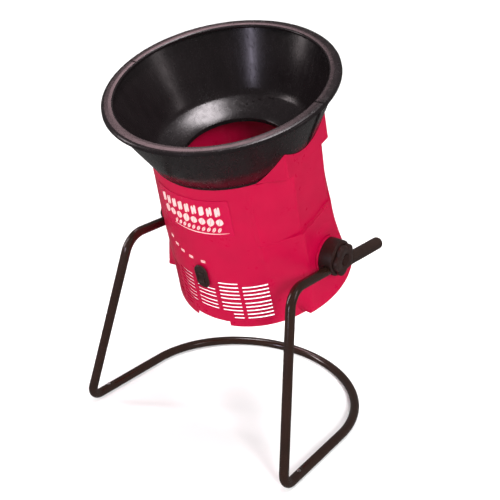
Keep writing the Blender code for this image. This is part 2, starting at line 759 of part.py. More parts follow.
def face_front(bm, back=False):
    """Turn a piece made along +Z to point out of the front (or the back) wall at the port's height."""
    turn = Matrix.Rotation(radians(90), 3, "X")
    bmesh.ops.rotate(bm, cent=(0, 0, 0), matrix=turn, verts=bm.verts)
    if back:
        bmesh.ops.rotate(bm, cent=(0, 0, 0), matrix=Matrix.Rotation(pi, 3, "Z"), verts=bm.verts)
    bmesh.ops.translate(bm, vec=(0, 0, SWITCH_H), verts=bm.verts)


def build_switch(black, parent):
    """Bezel, rocker and switch body. Distances along the outline's normal are radii from the axis."""
    plate = SWITCH_R + BEZEL_LIFT
    bm = prism_mesh(oval(*BEZEL_HALF), plate, plate + BEZEL_THICK)
    face_front(bm)
    bezel = finish_mesh(bm, "switch_bezel", black, parent)
    window = prism_mesh(rectangle(*WINDOW_HALF), plate - 0.005, plate + 0.010)
    face_front(window)
    cut(bezel, finish_mesh(window, "bezel_window", black, parent))
    body = prism_mesh(rectangle(PORT_HALF_X, PORT_HALF_Z), SWITCH_R - 0.0260, plate - 0.0030)
    face_front(body)
    finish_mesh(body, "switch_body", black, parent)
    half_x, half_z = ROCKER_HALF
    low = plate - 0.0018
    side_view = [(-half_z, low + 0.0030), (0.0, low + 0.0006), (half_z, low + 0.0030),
                 (half_z, plate + 0.0062), (0.0, plate + 0.0040), (-half_z, plate + 0.0090)]
    bm = bmesh.new()
    near = bm.faces.new([bm.verts.new((-half_x, -r, SWITCH_H + z)) for z, r in side_view])
    extrude(bm, near, (2 * half_x, 0, 0))
    finish_mesh(bm, "switch_rocker", black, parent, origin=(0.0, -(low + 0.0014), SWITCH_H))


def build_inlet(black, steel, parent):
    """A recessed mains inlet in the back wall, with two flat blades and no lead."""
    outer = SWITCH_R + INLET_PROUD
    bm = prism_mesh(rectangle(PORT_HALF_X, PORT_HALF_Z), outer - INLET_DEPTH, outer)
    face_front(bm, back=True)
    shroud = finish_mesh(bm, "inlet_shroud", black, parent)
    inside = rectangle(PORT_HALF_X * 0.80, PORT_HALF_Z * 0.84)
    well = prism_mesh(inside, outer - INLET_DEPTH + 0.006, outer + 0.004)
    face_front(well, back=True)
    cut(shroud, finish_mesh(well, "inlet_well", black, parent))
    for label, side in (("left", -1), ("right", 1)):
        blade = box_mesh((0.0015, 0.0063, 0.0180), (side * 0.0043, 0, outer - 0.0184))
        face_front(blade, back=True)
        finish_mesh(blade, f"inlet_blade_{label}", steel, parent)


def build_leads(parent):
    """Insulated leads inside: inlet to switch round the wall, and switch to motor under a mount arm."""
    skin = material("lead_insulation", BLACK, 0.5, 0.0)
    h = SWITCH_H
    path = []
    for k in range(25):
        a = radians(172.0 - 164.0 * k / 24)
        path.append(Vector((LEAD_RUN_R * sin(a), -LEAD_RUN_R * cos(a), h)))
    path = [Vector((0.0100, 0.1570, h))] + path + [Vector((0.0090, -0.1580, h))]
    finish_mesh(sweep_mesh(path, [LEAD_R] * len(path), None, 6), "lead_inlet_to_switch", skin, parent)
    diagonal = Vector((-sin(pi / 4), -cos(pi / 4), 0))
    under = SPIDER_LOW - 0.0042
    corners = [Vector((-0.0060, -0.1580, h)), Vector((-0.0400, -0.1620, h)),
               diagonal * 0.1600 + Vector((0, 0, under)), diagonal * 0.0690 + Vector((0, 0, under))]
    path = rounded_path(corners, (0.012, 0.012), 4)
    finish_mesh(sweep_mesh(path, [LEAD_R] * len(path), None, 6), "lead_switch_to_motor", skin, parent)


def knob_outline(radius, neck, lobes, turn, steps=7):
    """A star outline: round lobes with hollows between them."""
    points = []
    for k in range(lobes * steps):
        a = 2 * pi * k / (lobes * steps)
        wave = (0.5 + 0.5 * cos(lobes * (a - turn))) ** 0.7
        r = neck + (radius - neck) * wave
        points.append((r * cos(a), r * sin(a)))
    return points


def build_clamp(label, side, black, steel, parent):
    """The stud fixed in the housing's boss, and the star knob and its nut that clamp the hub."""
    seat = BOSS_BACK - GAP
    stud = [(0.0, STUD_END), (STUD_R, STUD_END - 0.001), (STUD_R, seat), (0.0090, seat),
            (0.0090, seat - 0.005), (0.0, seat - 0.005)]
    bm = turned_mesh(stud, 16)
    point_along_x(bm, side)
    finish_mesh(bm, f"tilt_stud_{label}", steel, parent)
    outline = knob_outline(KNOB_R, KNOB_HOLLOW_R, KNOB_LOBES, KNOB_TURN)
    star = prism_mesh(outline, KNOB_IN, KNOB_OUT)
    point_along_x(star, side)
    knob = finish_mesh(star, f"clamp_knob_{label}", black, parent)
    neck = turned_mesh(disc_profile(KNOB_NECK_R, HUB_FLOOR + GAP, KNOB_IN + 0.002), 24)
    point_along_x(neck, side)
    join(knob, finish_mesh(neck, f"knob_neck_guide_{label}", black, parent))
    floor = KNOB_OUT - DISH_DEPTH
    hollow = [(0.0, KNOB_OUT + 0.001), (DISH_R, KNOB_OUT + 0.001), (WELL_R, WELL_TOP), (WELL_R, floor),
              (0.0, floor)]
    dish = turned_mesh(hollow, 24)
    point_along_x(dish, side)
    cut(knob, finish_mesh(dish, f"knob_dish_{label}", black, parent))
    bore = turned_mesh(disc_profile(STUD_R + GAP, 0.2300, 0.2600), 16)
    point_along_x(bore, side)
    cut(knob, finish_mesh(bore, f"knob_bore_{label}", black, parent))
    low = floor + GAP
    nut = prism_mesh(hexagon(NUT_R), low, low + 0.0050)
    point_along_x(nut, side)
    piece = finish_mesh(nut, f"knob_nut_{label}", steel, parent)
    hole = turned_mesh(disc_profile(STUD_R + GAP, low - 0.002, low + 0.0080), 16)
    point_along_x(hole, side)
    cut(piece, finish_mesh(hole, f"nut_hole_{label}", steel, parent))


def main():
    clear_scene()
    red = material("red_plastic", RED, 0.35, 0.0)
    black = material("black_plastic", BLACK, 0.40, 0.0)
    paint = material("black_tube", (0.020, 0.012, 0.010), 0.32, 0.0)
    steel = material("steel", STEEL, 0.30, 1.0)
    copper = material("copper", COPPER, 0.35, 1.0)
    rubber = material("rubber", BLACK, 0.70, 0.0)
    pivot = bpy.data.objects.new("tilt_pivot", None)
    bpy.context.scene.collection.objects.link(pivot)
    pivot.location = PIVOT
    pivot.rotation_euler = (LEAN, 0, 0)
    build_loop(paint)
    for label, side in (("left", -1), ("right", 1)):
        build_leg(label, side, paint)
        build_joint_screw(label, side, steel)
        build_arm_grip(label, side, rubber)
        build_hub(label, side, black)
        build_clamp(label, side, black, steel, pivot)
    build_housing(red, pivot)
    build_base_ring(red, pivot)
    build_panel("label_panel", 30.0, 0.1480, 0.2390, 0.0008, 0.0014,
                material("label_film", (0.75, 0.28, 0.33), 0.3, 0.0), pivot)
    build_hopper(black, pivot)
    build_spider(black, pivot)
    build_motor(steel, black, pivot)
    build_rotor(steel, black, copper, pivot)
    build_switch(black, pivot)
    build_inlet(black, steel, pivot)
    build_leads(pivot)


main()
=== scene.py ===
"""Looks of the electric leaf mulcher: fine meshes, materials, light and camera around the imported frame.

Pieces of the machine are made in its own frame: origin on the tilt pivot, Z along the hopper's axis, and
-Y to the front. Azimuths are in degrees from the front, positive to the right.
"""

import json
from math import acos, atan2, cos, hypot, pi, radians, sin, tan

import bmesh
import bpy
from mathutils import Matrix, Vector


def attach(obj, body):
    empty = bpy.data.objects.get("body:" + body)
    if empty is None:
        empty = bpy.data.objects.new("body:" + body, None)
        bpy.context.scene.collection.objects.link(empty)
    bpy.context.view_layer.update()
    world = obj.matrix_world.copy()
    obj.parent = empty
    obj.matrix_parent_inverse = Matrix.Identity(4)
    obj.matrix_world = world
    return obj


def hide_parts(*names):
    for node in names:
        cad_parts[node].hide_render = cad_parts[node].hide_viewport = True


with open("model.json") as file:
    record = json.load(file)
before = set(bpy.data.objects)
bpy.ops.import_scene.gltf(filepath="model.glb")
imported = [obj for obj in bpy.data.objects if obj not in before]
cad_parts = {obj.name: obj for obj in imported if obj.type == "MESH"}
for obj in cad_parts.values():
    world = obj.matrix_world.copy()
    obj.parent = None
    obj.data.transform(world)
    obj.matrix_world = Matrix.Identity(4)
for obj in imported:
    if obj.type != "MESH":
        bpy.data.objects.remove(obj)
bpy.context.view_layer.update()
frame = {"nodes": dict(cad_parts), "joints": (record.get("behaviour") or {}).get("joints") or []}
JOINTS = {joint["name"]: joint for joint in frame["joints"]}
PIVOT = Vector(JOINTS["machine_tilt"]["pos_m"])
AXIS = Vector(JOINTS["hopper_lift"]["axis"]).normalized()
ACROSS = Vector((1.0, 0.0, 0.0))
MACHINE = Matrix.Translation(PIVOT) @ Matrix((ACROSS, AXIS.cross(ACROSS), AXIS)).transposed().to_4x4()
SIDES = (("left", -1), ("right", 1))
GAP = 0.0003                    # clearance between neighbouring pieces
TINY = 1e-6

# Camera
CAMERA_PLACE = Vector((1.1416, -1.6698, 1.3197))
CAMERA_AZIMUTH = 33.71
CAMERA_ELEVATION = 23.68
CAMERA_ROLL = 3.1
CAMERA_LENS = 68.1

# Stand
TUBE_R = 0.0111
FOOT = Vector((0.288, -0.2077, TUBE_R))
KNEE = Vector((0.2246, -0.1317, 0.447))
ARM_END = Vector((0.2323, 0.2413, 0.438))
FOOT_BEND = 0.030
KNEE_BEND = 0.048
LOOP_R = 0.283
LOOP_CENTRE_Y = 0.0483
SKID_JOINT = 0.080
GRIP_R = 0.0150
GRIP_LENGTH = 0.1490
GRIP_DOME = 0.0080
SEAM_ROUND = 0.0006              # rounding of the tubes' open ends
LOOP_STEPS = 72

# Hopper, heights along the machine's axis above the pivot
RIM_TOP = 0.4135
RIM_R = 0.254
RIM_INNER_R = 0.2277
RIM_SKIRT = 0.009
SEAT_H = 0.2670
SEAT_R = 0.181
THROAT_R = 0.1176
THROAT_H = 0.2391
HOPPER_WALL = 0.0032
CONE_TOP_R = 0.2485
CONE_TOP_H = 0.4095
CONE_SLOPE = (CONE_TOP_R - SEAT_R) / (CONE_TOP_H - SEAT_H)
SEAT_CLEARANCE = 0.0006
COLLAR_R = SEAT_R - 0.0047
RIM_NOTCHES = (90.0, 270.0)
NOTCH_DEPTH = 0.0016

# Housing
WALL = 0.0026
FLARE = 0.0494
BASE_H = -0.1005
CREASE_H = 0.2664
WING_TOP = 0.1050
WING_STEP = 0.0025              # height over which the cheek steps out to the wing
FLANK_DEG = 50.0                # azimuth where the round front turns into the flank of a side
EDGE_DEG = 73.2                 # azimuth of the edge between flank and flat side
LIP_EDGE_DEG = 68.1
WING_FLANK_SHIFT = 12.0         # how far both azimuths move from the wing's top to its foot
WING_EDGE_SHIFT = 8.2
CHEEK_X = 0.1925
CHEEK_TAPER = 0.0045            # how far each cheek draws in from the lip down to the wing
LIP_X = 0.1965
WING_X = 0.1955
WING_BASE_X = 0.2275
BOSS_X = 0.2065
BOSS_R = 0.0440
BOSS_ROOT_X = 0.1900
BOSS_CLEARANCE = 0.0006
BOSS_HOLE_SPAN = (0.150, 0.260)
SWELL_DEG = 55.0                # the wall swells round the boss beyond this azimuth
SWELL_REACH = 0.034
SWELL_INSET = 0.0060
CREASE_DIP = 0.0032             # depth of the crease under the lip
LIP_STEPS = 6
SHELL_SHARP = 40
FILLET = 0.0030                 # rounding of the side plates' edges, measured along the radius
VENT_STEP_H = 0.0152            # the vented band below this height is slightly recessed
VENT_STEP = 0.0009
ROW_PITCH = 0.0110
SLOT_HALF = 0.00275
LOWER_ROWS = tuple(-0.0915 + ROW_PITCH * i for i in range(5))
UPPER_ROWS = tuple(-0.0340 + ROW_PITCH * i for i in range(5))
COLUMNS = ((0.0, 7.5), (10.5, 24.5), (27.0, 44.5))
SLOTS_END = 44.5
PORT_DEG = 3.0
COLUMN_MARKS = (PORT_DEG, 7.5, 10.5, 17.5, 24.5, 27.0, 35.75, SLOTS_END)
PORT_LOW = UPPER_ROWS[-1] - SLOT_HALF
PORT_HIGH = 0.0385
PORT_H = (PORT_LOW + PORT_HIGH) / 2
RING_LOW = -0.1180
RING_STEP_H = -0.1052           # top of the base ring's notches
RING_WALL = 0.0040
RING_INSET = 0.0006
NOTCH_DEG = 13.6

# Label: heights of its film and print above the wall, then its place
FILM_BACK = 0.0004
FILM_FACE = 0.0010
PRINT_THICK = 0.0003
PRINT_FACE = FILM_FACE + PRINT_THICK
MIDRIB_HALF = 0.0004
LABEL_H = 0.1935
LABEL_HALF = 0.0455
LABEL_HALF_DEG = 30.0

# Tilt clamp
HUB_R = 0.0415
HUB_IN = BOSS_X + GAP
HUB_FLOOR = 0.2340              # bottom of the recess round the knob's neck
HUB_OUT = 0.2415
STUD_R = 0.0050
KNOB_R = 0.0385
KNOB_HOLLOW_R = 0.0315
KNOB_LOBES = 5
KNOB_IN = 0.2420
KNOB_OUT = 0.2540
KNOB_NECK_R = 0.0116
HUB_RECESS_R = 0.0120
KNOB_TURN = radians(-30.5)
DISH_DEPTH = 0.0160
DISH_R = 0.0148
WELL_R = 0.0092
WELL_TOP = 0.2425

# Switch
BEZEL_LIFT = 0.0016
BEZEL_THICK = 0.0050
BEZEL_HALF = (0.0165, 0.0320)
WINDOW_HALF = (0.0088, 0.0142)
ROCKER_HALF = (0.0078, 0.0122)
ROCKER_LOW = 0.0018             # depth of the rocker's foot behind the bezel's seat

# Materials and studio
BUMP_DISTANCE = 0.0006
COAT_ROUGHNESS = 0.12
WARM_WHITE = (1.0, 0.88, 0.90)
WORLD_STRENGTH = 0.16
FLOOR_HALF = 20.0
BACKDROP_R = 19.5
BACKDROP_HEIGHT = 40.0


# Materials --------------------------------------------------------------------------------------------

def linked(tree, kind, sources, **values):
    """A new node with some inputs linked, from {input name or number: output socket}, and others set."""
    node = tree.nodes.new(kind)
    for key, value in values.items():
        if hasattr(node, key):
            setattr(node, key, value)
        else:
            node.inputs[key.replace("_", " ")].default_value = value
    for key, socket in sources.items():
        tree.links.new(socket, node.inputs[key])
    return node


def noise(tree, place, scale, detail=4.0, rough=0.55, stretch=(1.0, 1.0, 1.0)):
    """Output socket of a noise on stretched object coordinates."""
    mapped = linked(tree, "ShaderNodeMapping", {"Vector": place}, Scale=stretch)
    made = linked(tree, "ShaderNodeTexNoise", {"Vector": mapped.outputs[0]}, Scale=scale, Detail=detail)
    made.inputs["Roughness"].default_value = rough
    return made.outputs[0]


def ranged(tree, value, start, stop, low, high):
    """Output socket that maps start..stop onto low..high."""
    made = linked(tree, "ShaderNodeMapRange", {"Value": value})
    for name, number in (("From Min", start), ("From Max", stop), ("To Min", low), ("To Max", high)):
        made.inputs[name].default_value = number
    return made.outputs[0]


def blended(tree, factor, one, two):
    """Mix of two colours, each a colour or an output socket."""
    made = tree.nodes.new("ShaderNodeMix")
    made.data_type = "RGBA"
    tree.links.new(factor, made.inputs[0])
    for socket, colour in ((made.inputs[6], one), (made.inputs[7], two)):
        if isinstance(colour, tuple):
            socket.default_value = (*colour, 1.0)
        else:
            tree.links.new(colour, socket)
    return made.outputs[2]


def scaled(colour, amount):
    return tuple(min(c * amount, 1.0) for c in colour)


def finish(name, colour, roughness, metallic=0.0, mottle=0.08, mottle_scale=14.0, grain=(1600.0, 0.08),
           peel=(160.0, 0.05), scuff=None, streak=(1.0, 1.0, 1.0), coat=0.0, specular=0.5, wear=None):
    """A moulded, painted or metal finish: mottled colour, uneven gloss, grain, peel, scuffs and worn edges.

    roughness is (lowest, highest); grain and peel are (scale, strength) of two bumps; scuff is the colour
    of fine rubbed marks; wear is the colour of rubbed edges; streak stretches the mottling.
    """
    made = bpy.data.materials.new(name)
    made.use_nodes = True
    tree = made.node_tree
    shader = tree.nodes["Principled BSDF"]
    shader.inputs["Metallic"].default_value = metallic
    shader.inputs["Coat Weight"].default_value = coat
    shader.inputs["Coat Roughness"].default_value = COAT_ROUGHNESS
    shader.inputs["Specular IOR Level"].default_value = specular
    place = tree.nodes.new("ShaderNodeTexCoord").outputs["Object"]
    cloud = noise(tree, place, mottle_scale, stretch=streak)
    clouding = ranged(tree, cloud, 0.3, 0.7, 0.0, 1.0)
    base = blended(tree, clouding, scaled(colour, 1.0 - mottle), scaled(colour, 1.0 + mottle))
    gloss = noise(tree, place, mottle_scale * 2.3, 6.0, 0.65, streak)
    rough = ranged(tree, gloss, 0.32, 0.68, *roughness)
    if scuff:
        marks = noise(tree, place, 38.0, 8.0, 0.75, (1.0, 0.35, 2.6))
        rubbed = ranged(tree, marks, 0.60, 0.74, 0.0, 0.40)
        base = blended(tree, rubbed, base, scuff)
    if wear:
        edge = tree.nodes.new("ShaderNodeNewGeometry").outputs["Pointiness"]
        worn = ranged(tree, edge, 0.53, 0.60, 0.0, 0.55)
        base = blended(tree, worn, base, wear)
    tree.links.new(base, shader.inputs["Base Color"])
    tree.links.new(rough, shader.inputs["Roughness"])
    normal = None
    for scale, strength in (peel, grain):
        bump = linked(tree, "ShaderNodeBump", {"Height": noise(tree, place, scale, 2.0)})
        bump.inputs["Strength"].default_value = strength
        bump.inputs["Distance"].default_value = BUMP_DISTANCE
        if normal:
            tree.links.new(normal, bump.inputs["Normal"])
        normal = bump.outputs[0]
    tree.links.new(normal, shader.inputs["Normal"])
    return made


SKINS = {
    "red_plastic": finish("red_plastic", (0.33, 0.0012, 0.0290), (0.26, 0.38), mottle=0.05, specular=0.13,
                          grain=(1500.0, 0.02), peel=(150.0, 0.03)),
    # Over the hopper's own near-black, its purplish tint and its mottling, stretched along the axis, paint a
    # faint vertical sheen.
    "hopper_plastic": finish("hopper_plastic", (0.0062, 0.0046, 0.0050), (0.20, 0.30), mottle=0.15,
                             streak=(3.0, 3.0, 0.5), scuff=(0.0095, 0.0075, 0.0080), specular=0.34,
                             grain=(1500.0, 0.01), peel=(160.0, 0.02)),
    "black_plastic": finish("black_plastic", (0.0150, 0.0062, 0.0052), (0.30, 0.44), mottle=0.2,
                            grain=(1900.0, 0.10), specular=0.42, wear=(0.030, 0.024, 0.022)),
    "tube_paint": finish("tube_paint", (0.015, 0.0062, 0.0040), (0.15, 0.24), mottle=0.15, coat=0.30,
                         grain=(1200.0, 0.02), peel=(240.0, 0.03), scuff=(0.022, 0.011, 0.008)),
    "steel": finish("steel", (0.50, 0.50, 0.51), (0.22, 0.38), metallic=1.0, mottle_scale=60.0,
                    streak=(0.3, 3.0, 3.0), grain=(900.0, 0.06)),
    "copper": finish("copper", (0.70, 0.30, 0.15), (0.26, 0.42), metallic=1.0, mottle_scale=90.0,
                     streak=(1.0, 1.0, 9.0), grain=(700.0, 0.30)),
    "rubber": finish("rubber", (0.017, 0.0095, 0.0075), (0.45, 0.60), grain=(1400.0, 0.25), specular=0.25),
    "nylon": finish("nylon", (0.72, 0.66, 0.50), (0.25, 0.40), mottle=0.05, grain=(900.0, 0.05)),
    "lead": finish("lead", (0.015, 0.014, 0.015), (0.42, 0.58), grain=(1300.0, 0.12)),
    "film": finish("film", (0.35, 0.0030, 0.035), (0.18, 0.28), mottle=0.03, specular=0.15,
                   grain=(2200.0, 0.03)),
    # Pale print colour: the label's print, and a painted highlight on the raised dashes below the label.
    "print_and_highlight": finish("print_and_highlight", (0.72, 0.44, 0.42), (0.24, 0.34), mottle=0.10, mottle_scale=45.0,
                    grain=(1800.0, 0.06)),
    "floor": finish("floor", (0.95, 0.95, 0.95), (0.75, 0.90), mottle=0.01, mottle_scale=2.0,
                    grain=(300.0, 0.02), peel=(40.0, 0.02), specular=0.1),
}


# Mesh helpers -----------------------------------------------------------------------------------------

def soften(piece, width, sharp):
    """Round the sharp edges of a piece."""
    rounding = piece.modifiers.new("edges", "BEVEL")
    rounding.width = width
    rounding.segments = 2
    rounding.limit_method = "ANGLE"
    rounding.angle_limit = radians(sharp)


def to_object(bm, name, skin, body, nodes, matrix=None, sharp=38.0, bevel=None):
    """Make a bmesh into a piece that rides on a body and stands for the named CAD nodes."""
    bmesh.ops.recalc_face_normals(bm, faces=bm.faces)
    mesh = bpy.data.meshes.new(name)
    bm.to_mesh(mesh)
    bm.free()
    mesh.shade_smooth()
    mesh.set_sharp_from_angle(angle=radians(sharp))
    mesh.materials.append(SKINS[skin])
    made = bpy.data.objects.new(name, mesh)
    bpy.context.scene.collection.objects.link(made)
    if matrix is not None:
        made.matrix_world = matrix
    if bevel:
        soften(made, bevel, sharp)
    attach(made, body)
    if nodes:
        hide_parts(*nodes)
    return made


def fillet(outline, radius, steps=4):
    """A closed outline with every corner rounded, as far as its edges allow."""
    count = len(outline)
    rounded = []
    for k in range(count):
        before, corner, after = (Vector(outline[(k + s) % count]) for s in (-1, 0, 1))
        a = before - corner
        b = after - corner
        half = a.angle(b) / 2
        if half > 1.53:
            rounded.append(corner)
            continue
        reach = min(radius / tan(half), 0.45 * a.length, 0.45 * b.length)
        inner = reach * tan(half)
        centre = corner + (a.normalized() + b.normalized()).normalized() * (inner / sin(half))
        start = corner + a.normalized() * reach - centre
        end = corner + b.normalized() * reach - centre
        rounded += [centre + start.lerp(end, i / steps).normalized() * inner for i in range(steps + 1)]
    return rounded


def bridge(bm, rings):
    """Quads between successive rings of vertices; repeated vertices close up."""
    for one, two in zip(rings, rings[1:]):
        count = len(one)
        for k in range(count):
            m = (k + 1) % count
            corners = list(dict.fromkeys((one[k], one[m], two[m], two[k])))
            if len(corners) > 2:
                bm.faces.new(corners)


def capped(bm, rings):
    """Quads between successive rings, and a face over each end."""
    bridge(bm, rings)
    bm.faces.new(rings[0])
    bm.faces.new(rings[-1])


def turned(outline, segments=128, azimuths=None, warp=None):
    """A closed (radius, height) outline spun round Z; warp can move each point of it by azimuth."""
    bm = bmesh.new()
    angles = azimuths or [360.0 * k / segments for k in range(segments)]
    rings = []
    for r, h in outline:
        if r < TINY:
            rings.append([bm.verts.new((0, 0, h))] * len(angles))
            continue
        ring = []
        for angle in angles:
            radius, height = warp(angle, r, h) if warp else (r, h)
            a = radians(angle)
            ring.append(bm.verts.new((radius * sin(a), -radius * cos(a), height)))
        rings.append(ring)
    bridge(bm, rings + rings[:1])
    return bm


def extruded(outline, low, high):
    """A closed outline in X and Y, drawn out from one height to another."""
    bm = bmesh.new()
    rings = [[bm.verts.new((x, y, h)) for x, y in outline] for h in (low, high)]
    capped(bm, rings)
    return bm


def rounded_path(corners, radii, steps=14):
    """A path through corners, each inner one rounded to its radius."""
    path = [corners[0]]
    for before, corner, after, radius in zip(corners, corners[1:], corners[2:], radii):
        a = (before - corner).normalized()
        b = (after - corner).normalized()
        half = a.angle(b) / 2
        reach = radius / tan(half)
        centre = corner + (a + b).normalized() * (radius / sin(half))
        start = corner + a * reach - centre
        end = corner + b * reach - centre
        path += [centre + start.slerp(end, i / steps).normalized() * radius for i in range(steps + 1)]
    path.append(corners[-1])
    return path


def swept(path, radii, sides=28):
    """A rod along a path, with one radius for each point, closed at both ends."""
    bm = bmesh.new()
    last = len(path) - 1
    normal = (path[1] - path[0]).orthogonal().normalized()
    rings = []
    for i, point in enumerate(path):
        along = (path[min(i + 1, last)] - path[max(i - 1, 0)]).normalized()
        normal = (normal - along * normal.dot(along)).normalized()
        side = along.cross(normal)
        turn = [2 * pi * k / sides for k in range(sides)]
        rings.append([bm.verts.new(point + (normal * cos(t) + side * sin(t)) * radii[i]) for t in turn])
    capped(bm, rings)
    return bm


def mirrored(point, side):
    """A point given for the right side, on the side asked for."""
    return Vector((point.x * side, point.y, point.z))


def outward(side, base=MACHINE):
    """A frame on the pivot axis whose Z points out through the left or the right side."""
    return base @ Matrix.Rotation(side * pi / 2, 4, "Y")


def subtract(piece, cutter):
    """Cut one object from another, keep the result as a plain mesh and drop the cutter."""
    boolean = piece.modifiers.new("cut", "BOOLEAN")
    boolean.operation = "DIFFERENCE"
    boolean.solver = "EXACT"
    boolean.object = cutter
    bpy.context.view_layer.update()
    graph = bpy.context.evaluated_depsgraph_get()
    result = bpy.data.meshes.new_from_object(piece.evaluated_get(graph))
    piece.modifiers.remove(boolean)
    piece.data = result
    bpy.data.objects.remove(cutter)


def loose_object(bm, name):
    """A plain object that only serves to cut another."""
    mesh = bpy.data.meshes.new(name)
    bmesh.ops.recalc_face_normals(bm, faces=bm.faces)
    bm.to_mesh(mesh)
    bm.free()
    made = bpy.data.objects.new(name, mesh)
    bpy.context.scene.collection.objects.link(made)
    return made


# Stand ------------------------------------------------------------------------------------------------

def skid_tangent():
    """Point where the right skid meets the loop's arc, and its angle on that arc."""
    dx = FOOT.x
    dy = FOOT.y - LOOP_CENTRE_Y
    angle = atan2(dy, dx) + acos(LOOP_R / hypot(dx, dy))
    return Vector((LOOP_R * cos(angle), LOOP_CENTRE_Y + LOOP_R * sin(angle), TUBE_R)), angle


def seam_lip(start, direction, length):
    """Points and radii that round a tube's open end over a short length."""
    steps = 4
    points = []
    radii = []
    for k in range(steps + 1):
        t = k / steps
        points.append(start + direction * (length * (1 - cos(t * pi / 2))))
        radii.append(TUBE_R - length * (1 - sin(t * pi / 2)))
    return points, radii


def grip_outline():
    """Half section of the sleeve on an arm's end, with its domed end at the top."""
    base = -0.5 * GRIP_DOME
    bore = TUBE_R + GAP
    outline = [(GRIP_R * sin(t * pi / 20), base + (GRIP_DOME - base) * cos(t * pi / 20)) for t in range(11)]
    start = -GRIP_LENGTH
    outline += [(GRIP_R, start + 0.0060), (GRIP_R + 0.0006, start + 0.0045),
                (GRIP_R + 0.0006, start + 0.0012), (GRIP_R - 0.0006, start),
                (bore, start), (bore, GAP), (0.0, GAP)]
    return outline


def build_stand():
    tangent, angle = skid_tangent()
    along = (tangent - FOOT).normalized()
    joint = FOOT + along * SKID_JOINT
    for label, side in SIDES:
        corners = [mirrored(p, side) for p in (ARM_END, KNEE, FOOT, joint)]
        path = rounded_path(corners, (KNEE_BEND, FOOT_BEND))
        back = (path[-2] - path[-1]).normalized()
        lip, lip_radii = seam_lip(path[-1], back, SEAM_ROUND)
        path = path[:-1] + list(reversed(lip))
        radii = [TUBE_R] * (len(path) - len(lip)) + list(reversed(lip_radii))
        to_object(swept(path, radii), f"leg_{label}", "tube_paint", "stand",
                  [f"stand_leg_{label}"], sharp=50)
        direction = (mirrored(ARM_END, side) - mirrored(KNEE, side)).normalized()
        turn = Vector((0, 0, 1)).rotation_difference(direction).to_matrix().to_4x4()
        place = Matrix.Translation(mirrored(ARM_END, side)) @ turn
        to_object(turned(grip_outline(), 48), f"grip_{label}", "rubber", "stand",
                  [f"arm_grip_{label}"], place)
    start = joint + along * GAP
    arc = []
    for i in range(LOOP_STEPS + 1):
        a = angle + (pi - 2 * angle) * i / LOOP_STEPS
        arc.append(Vector((LOOP_R * cos(a), LOOP_CENTRE_Y + LOOP_R * sin(a), TUBE_R)))
    lip, lip_radii = seam_lip(start, along, SEAM_ROUND)
    path = lip + arc + [mirrored(p, -1) for p in reversed(lip)]
    radii = lip_radii + [TUBE_R] * len(arc) + list(reversed(lip_radii))
    to_object(swept(path, radii), "rear_loop", "tube_paint", "stand", ["stand_rear_loop"],
              sharp=50)


# Housing ----------------------------------------------------------------------------------------------

def smooth(t):
    t = max(0.0, min(1.0, t))
    return t * t * (3 - 2 * t)


def soft_min(a, b, width):
    near = max(width - abs(a - b), 0.0) / width
    return min(a, b) - near * near * width / 4


def soft_max(a, b, width):
    return -soft_min(-a, -b, width)


def round_radius(h):
    return SEAT_R + (SEAT_H - min(h, SEAT_H)) * FLARE


def side_plan(h):
    """At one height: azimuth where the side starts, edge azimuth, face distance and squareness."""
    if h > CREASE_H:
        return FLANK_DEG, LIP_EDGE_DEG, LIP_X, 1.0
    if h > WING_TOP:
        cheek = CHEEK_X - CHEEK_TAPER * (CREASE_H - h) / (CREASE_H - WING_TOP)
        face = cheek + (WING_X - cheek) * (1.0 - smooth((h - WING_TOP) / WING_STEP))
        return FLANK_DEG, EDGE_DEG, face, 1.0
    drop = min((WING_TOP - h) / (WING_TOP - BASE_H), 1.0) ** 2
    face = WING_X + (WING_BASE_X - WING_X) * drop
    return FLANK_DEG + WING_FLANK_SHIFT * drop, EDGE_DEG - WING_EDGE_SHIFT * drop, face, 1.0 - drop


def ray_on_line(azimuth, p, q):
    """Distance along an azimuth to the line through two points, or 1 where it is not met."""
    a = radians(azimuth)
    d = Vector((sin(a), -cos(a)))
    run = Vector(q) - Vector(p)
    across = d.x * run.y - d.y * run.x
    reach = (p[0] * run.y - p[1] * run.x) / across if abs(across) > 1e-9 else 1.0
    return reach if reach > 0 else 1.0


def face_radius(azimuth, h):
    _, _, x, square = side_plan(h)
    return x / cos(radians(90.0 - azimuth)) ** square


def outer_radius(azimuth, h):
    leave, edge, _, _ = side_plan(h)
    base = round_radius(h)
    if h < VENT_STEP_H:
        base -= VENT_STEP * (1.0 - smooth((azimuth - SLOTS_END - 1.0) / 3.0))
    if azimuth < leave - 6.0:
        return base
    rim = face_radius(edge, h)
    p = (base * sin(radians(leave)), -base * cos(radians(leave)))
    q = (rim * sin(radians(edge)), -rim * cos(radians(edge)))
    flank = ray_on_line(azimuth, p, q)
    return soft_max(base, soft_min(flank, face_radius(azimuth, h), FILLET), FILLET)


def skin_point(azimuth, folded, h, inset):
    """A point of the housing's wall, with the soft swelling round the pivot boss."""
    r = outer_radius(folded, h) - inset
    a = radians(folded)
    x = r * sin(a)
    y = r * cos(a)
    away = hypot(y, h)
    if folded > SWELL_DEG:
        swell = 1.0 - smooth((away - BOSS_R) / SWELL_REACH)
        x += max(BOSS_X - SWELL_INSET - inset - x, 0.0) * swell
    right = 1 if azimuth % 360.0 <= 180.0 else -1
    back = 1 if 90.0 < azimuth % 360.0 < 270.0 else -1
    return x * right, y * back, h


def spread(start, stop, count):
    """Evenly spaced values after start, up to and with stop."""
    return [start + (stop - start) * (k + 1) / count for k in range(count)]


